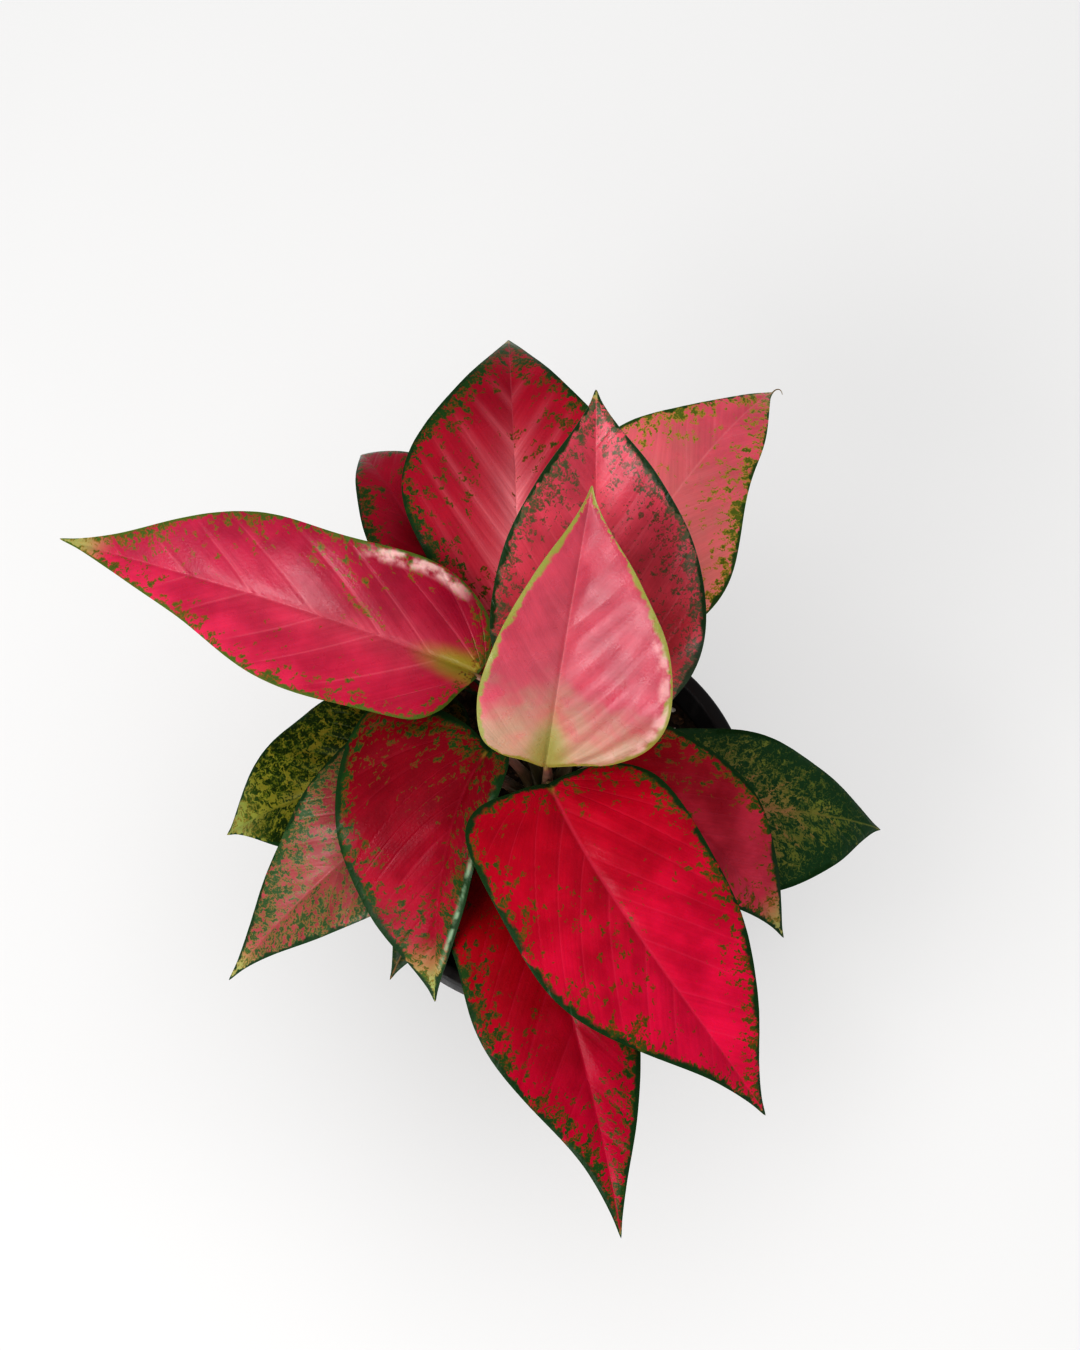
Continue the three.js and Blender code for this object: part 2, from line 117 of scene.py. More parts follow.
# `near` and `far` are the blade's colours at its base and from `turn` of its length on, and `pale`
# that of its veins, which `vein` and `midrib` let through. `streak` is how strongly it spreads from
# them, partly as the leaf's own pale colouring and partly as painted sheen. `under` is the
# underside's colour. `left_tone` and `right_tone` are painted light and shade: they make each half
# lighter or darker, as light falls on it.
# A fleck is `fleck` inside and `olive` at its edge. `calm` and `busy` say how many there are in the
# middle and at the margin, `reach` how far the busy part goes in, `fine` how small the flecks are
# and `rim` how wide the green margin is. `tint` colours the base out to `tint_reach`, and
# `tip_colour` the last `tip_share` of the length. `band` is the strength of a painted highlight of
# `band_colour` and `band_width` along one margin, left where `band_side` is 1 and right where it is
# -1. Its middle lies at `band_share` of the length, and it ends `band_span` before and after it.
# `quilt` is how high each half bulges between its side veins, of which it has about as many as
# `veins`, and `gloss` is how much light the skin mirrors. `lift` is how far the middle of the blade
# rises over the solid's, to clear another leaf.
LOOK = dict(
    near=(0.42, 0.02, 0.035), far=(0.5, 0.02, 0.05), pale=(0.75, 0.22, 0.26),
    under=(0.36, 0.15, 0.11), fleck=(0.02, 0.065, 0.012), olive=(0.15, 0.06, 0.012),
    rim_colour=(0.012, 0.045, 0.012), tint=(0.25, 0.2, 0.03), tip_colour=(0.34, 0.36, 0.12),
    turn=0.8, tip_share=0.03, left_tone=1, right_tone=1, calm=0.08, busy=1.1, reach=0.0065,
    fine=1.25, rim=0.0012, streak=0.3, vein=0.12, midrib=0.35, tint_reach=0.006, band=0,
    band_side=-1, band_share=0.2, band_span=0.14, band_width=0.007, band_colour=(0.84, 0.57, 0.54),
    quilt=(0.0007, 0.0007), gloss=0.25, veins=8, lift=0,
)

LEAVES = []


def add_leaf(**values):
    """Adds a leaf, with SHAPE and LOOK for what its words leave out."""
    LEAVES.append({**SHAPE, **LOOK, **values, "name": f"leaf_{len(LEAVES) + 1:02d}"})


add_leaf(  # front centre, upright
    base=(-0.002, -0.016, 0.214), tip=(0.013, 0.05, 0.309), width=0.074, rise=66, fall=46,
    fold=(34, 14), halves=(0.77, 1.08), lobe=(-0.8, -0.5), point=(1.05, 0.9), wave=0.0015,
    phase=0.5, arrival=(-100, 66),
    near=(0.5, 0.32, 0.22), far=(0.47, 0.065, 0.105), pale=(0.74, 0.42, 0.4),
    fleck=(0.16, 0.2, 0.03), olive=(0.4, 0.2, 0.08), rim_colour=(0.27, 0.27, 0.06),
    # left_tone and right_tone: painted light and shade on the two halves
    tint=(0.3, 0.29, 0.08), left_tone=1.04, right_tone=0.92, turn=0.42, calm=-0.9, busy=0.75,
    # band: a painted highlight along the right margin
    reach=0.003, rim=0.0019, streak=0.12, vein=0.02, midrib=0.2, tint_reach=0.03, band=0.5,
    band_share=0.36, band_span=0.28, band_width=0.006, quilt=(0.0003, 0.0014), gloss=0.6, veins=5,
)
add_leaf(  # behind it, upright
    base=(0.015, 0.009, 0.194), tip=(0.015, 0.095, 0.288), width=0.08, rise=62, fall=24,
    fold=(24, 24), curl=(14, 14), halves=(0.95, 1), lobe=(0.3, 0.3), point=(0.8, 0.76), phase=1,
    near=(0.49, 0.055, 0.07), far=(0.57, 0.08, 0.12), fleck=(0.1, 0.11, 0.055),
    # right_tone: painted light on the right half
    olive=(0.28, 0.09, 0.07), right_tone=1.08, calm=0.14, busy=0.95, reach=0.0085, fine=1.6,
    rim=0.0019, gloss=0.35,
)
add_leaf(  # far left
    base=(-0.026, 0.025, 0.198), tip=(-0.181, 0.079, 0.196), width=0.074, rise=24, fall=-18, lead=4,
    trail=-4, fold=(8, 30), halves=(0.83, 0.89), lobe=(-0.8, 0.3), point=(1.25, 1),
    ripple=(0.1, 0.1), crest=(0.45, 0.6), waves=2, wave=0.003, phase=2,
    near=(0.38, 0.01, 0.048), far=(0.52, 0.03, 0.09), fleck=(0.075, 0.12, 0.02),
    # left_tone and right_tone: painted light and shade on the two halves
    olive=(0.24, 0.1, 0.02), rim_colour=(0.09, 0.14, 0.02), tint=(0.3, 0.27, 0.03), left_tone=1.16,
    right_tone=0.82, calm=0.05, busy=0.85, reach=0.005, rim=0.0011, vein=0.17, tint_reach=0.024,
    # band: a painted highlight along the right margin, near the base
    tip_share=0.13, band=0.8, quilt=(0.0006, 0.0005), gloss=0.35, veins=7,
)
add_leaf(  # lower right, the largest
    base=(-0.001, -0.016, 0.198), tip=(0.077, -0.126, 0.15), width=0.086, rise=14, fall=-52,
    lead=-14, trail=8, fold=(12, 12), halves=(0.93, 0.97), lobe=(0.2, 0.3), point=(1.1, 1.4),
    ripple=(0.04, 0.1), crest=(0.6, 0.5), waves=1.6, arrival=(-90, 84),
    near=(0.38, 0.001, 0.02), far=(0.54, 0.008, 0.06), pale=(0.65, 0.08, 0.14),
    fleck=(0.05, 0.08, 0.014), olive=(0.2, 0.06, 0.01), busy=1, reach=0.0055, rim=0.0021,
    streak=0.08, midrib=0.3, gloss=0.15,
)
add_leaf(  # lower left
    base=(-0.022, 0, 0.19), tip=(-0.043, -0.08, 0.131), width=0.076, rise=6, fall=-66, lead=-20,
    trail=10, fold=(38, 6), curl=(14, 14), halves=(0.4, 1.24), lobe=(0.6, 0.6), point=(1.25, 1.55),
    near=(0.2, 0.002, 0.012), far=(0.34, 0.008, 0.034), pale=(0.42, 0.04, 0.08),
    # band: a pale green painted highlight along the left margin
    tip_colour=(0.34, 0.4, 0.14), band_colour=(0.3, 0.42, 0.28), calm=0.13, busy=1.15, reach=0.0075,
    rim=0.0027, streak=0.06, midrib=0.16, tip_share=0.26, band=0.75, band_side=1, band_share=0.5,
    band_span=0.4, band_width=0.0034, gloss=0.15,
)
add_leaf(  # top
    base=(-0.01, 0.028, 0.182), tip=(-0.016, 0.163, 0.191), width=0.08, rise=42, fall=-48,
    fold=(16, 16), curl=(24, 24), halves=(0.93, 0.95), lobe=(0.4, 0.4), point=(0.85, 0.85),
    ripple=(0.2, 0.19), crest=(0.55, 0.5), waves=1.4,
    # left_tone and right_tone: painted shade on the two halves
    near=(0.46, 0.008, 0.04), far=(0.36, 0.006, 0.03), pale=(0.85, 0.36, 0.38), left_tone=0.87,
    # streak: pale colouring beside the midrib, partly painted sheen
    right_tone=0.95, busy=1.15, reach=0.0085, rim=0.0017, streak=0.85, vein=0.03,
    quilt=(0.0004, 0.0004), lift=0.0012,
)
add_leaf(  # top right
    base=(0.009, 0.032, 0.176), tip=(0.084, 0.141, 0.191), width=0.068, rise=44, fall=-44, lead=12,
    trail=-4, fold=(14, 14), curl=(18, 18), halves=(1, 0.99), lobe=(0.4, 0.4), point=(0.95, 1),
    ripple=(0.13, 0.1), crest=(0.58, 0.42), waves=2,
    near=(0.82, 0.33, 0.27), far=(0.66, 0.12, 0.165), pale=(0.88, 0.42, 0.4),
    fleck=(0.12, 0.16, 0.02), olive=(0.4, 0.26, 0.05), rim_colour=(0.03, 0.08, 0.015), calm=0.06,
    busy=0.95, vein=0.06,
)
add_leaf(  # right
    base=(0.017, -0.003, 0.178), tip=(0.087, -0.056, 0.133), width=0.064, rise=6, fall=-54, lead=10,
    trail=-10, fold=(14, 14), halves=(0.86, 1), point=(1.1, 1.75), ripple=(0.05, 0),
    crest=(0.45, 0.5), waves=2,
    near=(0.3, 0.002, 0.014), far=(0.5, 0.05, 0.09), pale=(0.5, 0.07, 0.12),
    fleck=(0.035, 0.09, 0.015), olive=(0.25, 0.08, 0.02), busy=1.05, reach=0.006, fine=1.1,
    rim=0.002, streak=0.06, midrib=0.16, tip_share=0.2, gloss=0.15,
)
add_leaf(  # behind, upper left
    base=(-0.022, 0.032, 0.168), tip=(-0.073, 0.127, 0.165), width=0.056, rise=44, fall=-60,
    fold=(12, 12), curl=(24, 24), halves=(0.7, 1.05), lobe=(0.4, 0.4), point=(0.8, 0.8),
    near=(0.32, 0.004, 0.025), far=(0.32, 0.006, 0.03), pale=(0.42, 0.04, 0.08), calm=0, busy=0.95,
    rim=0.0014, streak=0.1,
)
add_leaf(  # lower left, under the fifth
    base=(-0.034, 0, 0.162), tip=(-0.122, -0.067, 0.112), width=0.056, rise=8, fall=-50,
    fold=(12, 12), curl=(14, 14), halves=(1.12, 1.25), lobe=(0.6, 0.6), point=(1.6, 1.7),
    arrival=(180, 30),
    near=(0.26, 0.04, 0.045), far=(0.35, 0.075, 0.08), pale=(0.46, 0.15, 0.14),
    fleck=(0.04, 0.09, 0.03), olive=(0.22, 0.14, 0.05), calm=0.42, reach=0.009, fine=1.7,
    rim=0.0015, tip_share=0.17,
)
add_leaf(  # bottom
    base=(-0.012, -0.026, 0.15), tip=(0.026, -0.163, 0.105), width=0.066, rise=18, fall=-54, lead=2,
    trail=-4, fold=(12, 9), halves=(0.8, 1.24), lobe=(0.6, 0.6), point=(1.25, 1.7),
    ripple=(0.05, 0.12), crest=(0.55, 0.5), waves=1.6,
    near=(0.35, 0.002, 0.01), far=(0.4, 0.002, 0.038), pale=(0.5, 0.04, 0.1), reach=0.007,
    rim=0.0022, streak=0.06, midrib=0.16, gloss=0.15,
)
add_leaf(  # far right
    base=(0.024, -0.011, 0.148), tip=(0.127, -0.009, 0.117), width=0.07, rise=12, fall=-50,
    fold=(8, 0), halves=(0.92, 0.96), lobe=(1, 1), point=(1, 0.85),
    near=(0.15, 0.16, 0.05), far=(0.16, 0.19, 0.04), pale=(0.6, 0.17, 0.15),
    under=(0.1, 0.14, 0.06), fleck=(0.02, 0.06, 0.022), olive=(0.09, 0.12, 0.03), calm=0.55,
    busy=1.6, reach=0.013, fine=1.7, rim=0.002, streak=0.8, midrib=0.12, gloss=0.12,
)
add_leaf(  # left, under the tenth
    base=(-0.032, 0.01, 0.152), tip=(-0.124, -0.012, 0.12), width=0.064, rise=12, fall=-50,
    fold=(10, 10), curl=(14, 14), halves=(1, 1.03), lobe=(1, 1), point=(1.1, 0.8),
    near=(0.14, 0.1, 0.012), far=(0.2, 0.19, 0.025), pale=(0.2, 0.19, 0.04),
    under=(0.1, 0.14, 0.06), fleck=(0.014, 0.03, 0.004), olive=(0.08, 0.1, 0.01),
    tip_colour=(0.24, 0.28, 0.08), calm=0.72, reach=0.009, fine=1.5, rim=0.0013, streak=0.1,
    tip_share=0.22, gloss=0.1,
)
add_leaf(  # lowest, over the pot's rim at the front left
    base=(-0.022, -0.008, 0.136), tip=(-0.061, -0.067, 0.112), width=0.04, rise=8, fall=-52,
    fold=(10, 10), curl=(14, 14), lobe=(1, 1), point=(1.4, 1.4),
    near=(0.2, 0.04, 0.02), far=(0.2, 0.09, 0.03), pale=(0.3, 0.14, 0.06), under=(0.1, 0.14, 0.06),
    fleck=(0.014, 0.035, 0.01), olive=(0.09, 0.08, 0.015), calm=0.85, busy=1.4, reach=0.01,
    rim=0.0014, streak=0.1,
)

# ---- sizes of the fine detail ----

BLADE_ROWS = 104
HALF_COLUMNS = 24
COLUMN_CROWDING = 1.25  # above 1, columns crowd towards the midrib
BLADE_THICKNESS = 0.0006
MARGIN_THICKNESS = 0.00028
MARGIN_ROLL = 0.0004
ROLL_REACH = 0.002
VEIN_LEAVING = 1.3  # forward run of a side vein for each unit out from the midrib
VEIN_BENDING = 1.3  # and how much more of it further out
VEIN_UNEVENNESS = 0.012  # in lengths of the blade
MIDRIB_GROOVE = 0.0005
RIB_HALF_WIDTH = 0.0012
QUILT_MARGIN = 0.007  # how far in from the margin the quilting is full
QUILT_MIDRIB = 0.005  # and how far out from the midrib
CROWDING_LIMITS = (0.18, 0.36)  # side veins a grid step, over which the quilting fades out
BUCKLE = 0.0007  # slow unevenness of a blade
BUCKLE_REACH = 0.012  # from the midrib, where it is least
BUCKLE_WAVES = 4
BUCKLE_PITCHES = (0.03, 0.07)
MARGIN_TAPER = 0.0015

PETIOLE_RINGS = 40
PETIOLE_SIDES = 20
NECK_RINGS = 10
NECK_LENGTH = 0.009
NECK_DEPTH = 0.0009  # below the blade's middle surface
NECK_TIP_RADIUS = 0.0006
NECK_START = 0.85  # `climbed` where a neck begins; it is 1 where it ends in the blade
CHANNEL_SPREAD = 0.55  # half width of a petiole's channel, in radians round it
STEM_RINGS = 150
STEM_SIDES = 40
SCAR_HEIGHT = 0.0004
STEM_LUMP = 0.00015
THREAD_RADII = (0.0003, 0.00009)  # at its two ends

POT_SIDES = 144
SOIL_RINGS = 60
SOIL_SIDES = 160
SOIL_EDGE = 0.003  # over which the lumps fade out beside the pot and the stem
TURNED_CREASE = 35  # degrees, from which an edge of a turned piece is sharp
SOLID_LUMP = 0.0014
CRUMBS = ((0.0071, 0.0006), (0.0043, 0.0004), (0.0027, 0.00025))  # pitch and height

LARGE_FLECKS = 330.0  # cells a metre
SMALL_FLECKS = 620.0
FLECK_SWIRL = 0.0045
TIP_OLIVE = (0.27, 0.2, 0.05)
TIP_GREEN = (0.09, 0.15, 0.025)
HALF_BLUR = 0.003  # over which the painted light and shade of one half turns into the other's
GLOW_REACH = 0.007  # of the pale colour and painted sheen, out from the midrib

RANDOM = np.random.default_rng(11)

# ---- plain geometry ----


def unit(vectors):
    return vectors / np.maximum(np.linalg.norm(vectors, axis=-1, keepdims=True), 1e-12)


def smoothstep(low, high, values):
    share = np.clip((values - low) / (high - low), 0, 1)
    return share * share * (3 - 2 * share)


def circle_angles(count):
    return np.linspace(0, 2 * np.pi, count, endpoint=False)


def direction(heading, climb):
    """A unit vector from a compass heading and a climb, in degrees."""
    heading, climb = math.radians(heading), math.radians(climb)
    flat = math.cos(climb)
    return np.array([math.cos(heading) * flat, math.sin(heading) * flat, math.sin(climb)])


def catmull_rom(points, share):
    """A smooth curve through points, at each share of the way from the first to the last."""
    last = len(points) - 1
    before = np.vstack([2 * points[:1] - points[1:2], points, 2 * points[-1:] - points[-2:-1]])
    place = np.clip(share, 0, 1) * last
    step = np.minimum(place.astype(int), last - 1)
    t = (place - step)[..., None]
    p0, p1, p2, p3 = (before[step + shift] for shift in range(4))
    start, end = (p2 - p0) / 2, (p3 - p1) / 2
    cubic = 2 * p1 - 2 * p2 + start + end
    square = 3 * p2 - 3 * p1 - 2 * start - end
    return cubic * t**3 + square * t**2 + start * t + p1


class Bezier:
    """A cubic curve that is read by share of its length."""

    SAMPLES = 200

    def __init__(self, *points):
        self.points = [np.array(point, float) for point in points]
        self.steps = np.linspace(0, 1, self.SAMPLES + 1)
        runs = np.linalg.norm(np.diff(self.at_step(self.steps), axis=0), axis=1)
        self.distances = np.concatenate([[0], np.cumsum(runs)])
        self.length = self.distances[-1]

    def at_step(self, t):
        t = np.asarray(t, float)[..., None]
        a, b, c, d = self.points
        return (1 - t) ** 3 * a + 3 * (1 - t) ** 2 * t * b + 3 * (1 - t) * t**2 * c + t**3 * d

    def step_of(self, share):
        return np.interp(np.asarray(share) * self.length, self.distances, self.steps)

    def at(self, share):
        return self.at_step(self.step_of(share))

    def tangent(self, share):
        t = self.step_of(share)[..., None]
        a, b, c, d = self.points
        return unit((1 - t) ** 2 * (b - a) + 2 * (1 - t) * t * (c - b) + t**2 * (d - c))


def grid_quads(rows, columns, start=0, flipped=False, wrapped=False):
    """The quads between the points of a grid, which are numbered row by row."""
    here = start + np.arange(rows * columns).reshape(rows, columns)
    beside = np.roll(here, -1, axis=1)
    if not wrapped:
        here, beside = here[:, :-1], beside[:, :-1]
    corners = [here[:-1], here[1:], beside[1:], beside[:-1]]
    if flipped:
        corners.reverse()
    return np.stack(corners, axis=-1).reshape(-1, 4).tolist()


def put_in_scene(name, data):
    item = bpy.data.objects.new(name, data)
    bpy.context.scene.collection.objects.link(item)
    return item


def make_object(name, points, faces, attributes=None, sharp_angle=50):
    """A smooth mesh object. Each attribute has a value for each point, and equal points merge."""
    mesh = bpy.data.meshes.new(name)
    mesh.from_pydata(np.asarray(points).tolist(), [], faces)
    for key, values in (attributes or {}).items():
        kind, field = ("FLOAT", "value") if values.ndim == 1 else ("FLOAT_VECTOR", "vector")
        layer = mesh.attributes.new(key, kind, "POINT")
        layer.data.foreach_set(field, values.astype(np.float32).ravel())
    shell = bmesh.new()
    shell.from_mesh(mesh)
    bmesh.ops.remove_doubles(shell, verts=shell.verts, dist=1e-7)
    shell.to_mesh(mesh)
    shell.free()
    mesh.shade_smooth()
    mesh.set_sharp_from_angle(angle=math.radians(sharp_angle))
    return put_in_scene(name, mesh)


def tube(rings, start=0):
    """The faces of a closed tube through rings of points, which are numbered from start."""
    count, sides = rings.shape[:2]
    faces = grid_quads(count, sides, start, flipped=True, wrapped=True)
    faces.append([start + side for side in reversed(range(sides))])
    faces.append([start + (count - 1) * sides + side for side in range(sides)])
    return faces


# ---- blades ----


def midrib_of(leaf):
    base, tip = np.array(leaf["base"]), np.array(leaf["tip"])
    chord = tip - base
    heading = math.degrees(math.atan2(chord[1], chord[0]))
    reach = MIDRIB_REACH * np.linalg.norm(chord)
    leave = base + direction(heading + leaf["lead"], leaf["rise"]) * reach
    arrive = tip - direction(heading + leaf["trail"], leaf["fall"]) * reach
    return Bezier(base, leave, arrive, tip)


def margin_of(leaf, side, share):
    """The margin of one half: shares of the length and of the half width, from base to tip."""
    points = HALF_OUTLINE[:, :2].copy()
    points[:, 0] -= HALF_OUTLINE[:, 2] * leaf["lobe"][side]
    along, across = catmull_rom(points, share).T
    along = np.where(along < 0, along, np.abs(along) ** leaf["point"][side])
    swell = 2 * np.pi * leaf["waves"] * (along - leaf["crest"][side])
    return along, across * (1 + leaf["ripple"][side] * np.cos(swell))


def blade_surface(leaf, midrib, along, across):
    """Points of a blade's middle surface, from shares of its length and of its half width."""
    right = across < 0

    def pick(pair):
        return np.where(right, pair[1], pair[0])

    share = np.clip(along, 0, 1)
    tangent = midrib.tangent(share)
    left = unit(np.cross((0, 0, 1), tangent))
    normal = np.cross(tangent, left)
    fold, curl = np.radians(pick(leaf["fold"])), np.radians(pick(leaf["curl"]))
    spread = np.abs(across)
    half = leaf["width"] / 2 * pick(leaf["halves"])
    out = (np.sin(fold) - np.sin(fold - curl * spread)) / curl * half
    up = (np.cos(fold - curl * spread) - np.cos(fold)) / curl * half
    turn = 2 * np.pi * leaf["waves"] * share + leaf["phase"] + np.where(right, RIGHT_PHASE, 0)
    wave = leaf["wave"] * spread**2 * np.sin(turn)
    return (
        midrib.at(share)
        + tangent * ((along - share) * midrib.length)[..., None]
        + left * (np.sign(across) * out)[..., None]
        + normal * (up + wave)[..., None]
    )


def blade_grid(leaf):
    """Shares of length and half width at each grid point, from base to tip and right to left."""
    rows = np.linspace(0, 1, BLADE_ROWS + 1)
    spread = np.linspace(0, 1, HALF_COLUMNS + 1) ** COLUMN_CROWDING
    start = rows**VEIN_SWEEP
    halves = []
    for side in (0, 1):
        edge_along, edge_across = margin_of(leaf, side, rows)
        along = start[:, None] + (edge_along - start)[:, None] * spread
        halves.append((along, edge_across[:, None] * spread))
    (left_along, left_across), (right_along, right_across) = halves
    along = np.hstack([right_along[:, :0:-1], left_along])
    across = np.hstack([-right_across[:, :0:-1], left_across])
    return along, across


def margin_distance(leaf, midrib, along, across):
    """How far each point lies from the margin of its own half, measured on the blade."""
    fine = np.linspace(0, 1, 240)
    distance = np.zeros_like(along)
    for side, here in ((0, across >= 0), (1, across < 0)):
        half = leaf["width"] / 2 * leaf["halves"][side]
        edge_along, edge_across = margin_of(leaf, side, fine)
        edge = np.stack([edge_along * midrib.length, edge_across * half], axis=-1)
        points = np.stack([along[here] * midrib.length, np.abs(across[here]) * half], axis=-1)
        distance[here] = np.linalg.norm(points[:, None] - edge, axis=-1).min(axis=1)
    return distance


def vein_phase(leaf, along, out, right):
    """A number that is whole along each side vein. out is the distance from the midrib, in lengths."""
    leaving = along - VEIN_LEAVING * out - VEIN_BENDING * out**2
    leaving += VEIN_UNEVENNESS * np.sin(20 * leaving + 9 * out + np.where(right, 2.2, 0))
    ahead = np.maximum(leaving, 0) ** 0.85 * leaf["veins"]
    behind = np.maximum(-leaving, 0) / (np.hypot(along, out) + 1e-3) * 2.2
    return ahead - behind


def make_blade(leaf, seed):
    """The blade as a closed piece, with what its nodes read stored at each point."""
    midrib = midrib_of(leaf)
    along, across = blade_grid(leaf)
    points = blade_surface(leaf, midrib, along, across)
    rows, columns = along.shape
    half = leaf["width"] / 2 * np.where(across < 0, leaf["halves"][1], leaf["halves"][0])
    out = np.abs(across) * half
    edge = margin_distance(leaf, midrib, along, across)
    phase = vein_phase(leaf, along, out / midrib.length, across < 0)
    slimming = np.clip(1 - along, 0, 1)

    # Relief of both faces: quilting between the veins, a slow buckle, a rolled margin and the lift.
    # The quilting fades out where the veins crowd closer than the grid can follow, near the base.
    crowding = np.hypot(np.gradient(phase, axis=0), np.gradient(phase, axis=1))
    inside = smoothstep(0, QUILT_MARGIN, edge) * smoothstep(0, QUILT_MIDRIB, out) * slimming**0.5
    inside *= 1 - smoothstep(*CROWDING_LIMITS, crowding)
    quilt = np.where(across < 0, *leaf["quilt"][::-1]) * np.sin(np.pi * phase) ** 2 * inside
    random = np.random.default_rng(seed)
    buckle = np.zeros_like(along)
    for _ in range(BUCKLE_WAVES):
        pitch = random.uniform(*BUCKLE_PITCHES)
        turn = random.uniform(0, 2 * np.pi)
        shift = random.uniform(0, 2 * np.pi)
        run = along * midrib.length * math.cos(turn) + across * half * math.sin(turn)
        buckle += np.sin(2 * np.pi * run / pitch + shift) / BUCKLE_WAVES
    roll = MARGIN_ROLL * (1 - smoothstep(0, ROLL_REACH, edge))
    relief = quilt + BUCKLE * buckle * smoothstep(0, BUCKLE_REACH, out) - roll
    relief += leaf["lift"] * np.sin(np.pi * np.clip(along, 0, 1))

    # Relief of one face: the groove of the midrib above, and its rib below.
    trough = np.exp(-((out / RIB_HALF_WIDTH) ** 2)) * slimming
    inward = smoothstep(0, MARGIN_TAPER, edge)
    thickness = MARGIN_THICKNESS + (BLADE_THICKNESS - MARGIN_THICKNESS) * inward
    top_relief = relief + thickness / 2 - MIDRIB_GROOVE * trough
    under_relief = relief - thickness / 2 - RIB_DEPTH * trough

    ahead = np.gradient(points, axis=0)
    leftward = np.gradient(points, axis=1)
    normals = unit(np.cross(ahead, leftward))
    normals[0] = normals[1, columns // 2]
    normals[-1] = normals[-2, columns // 2]
    for end in (0, -1):
        for values in (top_relief, under_relief):
            values[end] = values[end, columns // 2]
    top = points + normals * top_relief[..., None]
    under = points + normals * under_relief[..., None]

    count = rows * columns
    faces = grid_quads(rows, columns) + grid_quads(rows, columns, count, flipped=True)
    for column, flip in ((0, False), (columns - 1, True)):
        for row in range(rows - 1):
            here, ahead_of = row * columns + column, (row + 1) * columns + column
            quad = [here, here + count, ahead_of + count, ahead_of]
            faces.append(quad[::-1] if flip else quad)

    rib = out / (RIB_HALF_WIDTH * (0.35 + 0.65 * slimming))
    flat = np.stack([along * midrib.length, across * half], axis=-1).reshape(-1, 2)
    place = np.stack([along, phase, rib], axis=-1).reshape(-1, 3)
    faces_up = np.repeat([1.0, 0.0], count)
    attributes = {
        "flat": np.column_stack([np.vstack([flat, flat]), faces_up]),
        "place": np.vstack([place, place]),
        "edge": np.tile(edge.ravel(), 2),
    }
    both = np.vstack([top.reshape(-1, 3), under.reshape(-1, 3)])
    return make_object(leaf["name"], both, faces, attributes)


def make_thread():
    """The dry thread that curls from the tip of the seventh leaf."""
    bends = np.array([(-0.4, -0.6, 0), (1.1, 1.5, 0.4), (3.1, 1.6, 0.3), (3.5, -0.9, -0.6)]) / 1000
    curl = Bezier(*(bends + LEAVES[6]["tip"]))
    shares = np.linspace(0, 1, 24)
    ahead = curl.tangent(shares)
    sideways = unit(np.cross(ahead, (0, 0, 1)))
    upward = np.cross(sideways, ahead)
    angles = circle_angles(10)[:, None]
    radii = np.interp(shares, [0, 1], THREAD_RADII)[:, None, None]
    spokes = np.cos(angles) * sideways[:, None] + np.sin(angles) * upward[:, None]
    rings = curl.at(shares)[:, None] + radii * spokes
    attributes = {
        "climbed": np.full(rings.shape[:2], 0.9).ravel(),
        "around": np.tile(angles.ravel(), len(shares)),
    }
    return make_object("leaf_07_thread", rings.reshape(-1, 3), tube(rings), attributes)


# ---- stem and petioles ----


def stem_centre(height):
    share = np.clip((np.asarray(height) - SOIL_HEIGHT) / (STEM_TOP - SOIL_HEIGHT), 0, None)
    return np.stack([0 * share, -STEM_LEAN * share**1.5, 0 * share + height], axis=-1)


def stem_radius(height):
    share = np.clip((height - SOIL_HEIGHT) / (STEM_TOP - SOIL_HEIGHT), 0, 1)
    return STEM_FOOT_RADIUS + (STEM_TOP_RADIUS - STEM_FOOT_RADIUS) * share


def stem_rings():
    """Rings of the stem, with a scar at each place where a leaf has dropped, and a domed top."""
    heights = np.linspace(SOIL_HEIGHT - STEM_DEPTH, STEM_TOP, STEM_RINGS)
    angles = circle_angles(STEM_SIDES)
    above = smoothstep(SOIL_HEIGHT + 0.002, SOIL_HEIGHT + 0.005, heights)
    scar = np.cos(2 * np.pi * (heights - SOIL_HEIGHT) / SCAR_SPACING)
    radii = stem_radius(heights) + above * SCAR_HEIGHT * np.maximum(scar, 0) ** 6
    lumps = STEM_LUMP * np.sin(3 * angles[None] + heights[:, None] * 300) * above[:, None]
    radius = radii[:, None] + lumps
    spokes = np.stack([np.cos(angles), np.sin(angles), 0 * angles], axis=-1)
    rings = stem_centre(heights)[:, None] + radius[..., None] * spokes[None]
    crown = [
        stem_centre(STEM_TOP + 0.0017 * math.sin(tilt)) + STEM_TOP_RADIUS * math.cos(tilt) * spokes
        for tilt in np.radians([25, 50, 70])
    ]
    return np.concatenate([rings, crown])


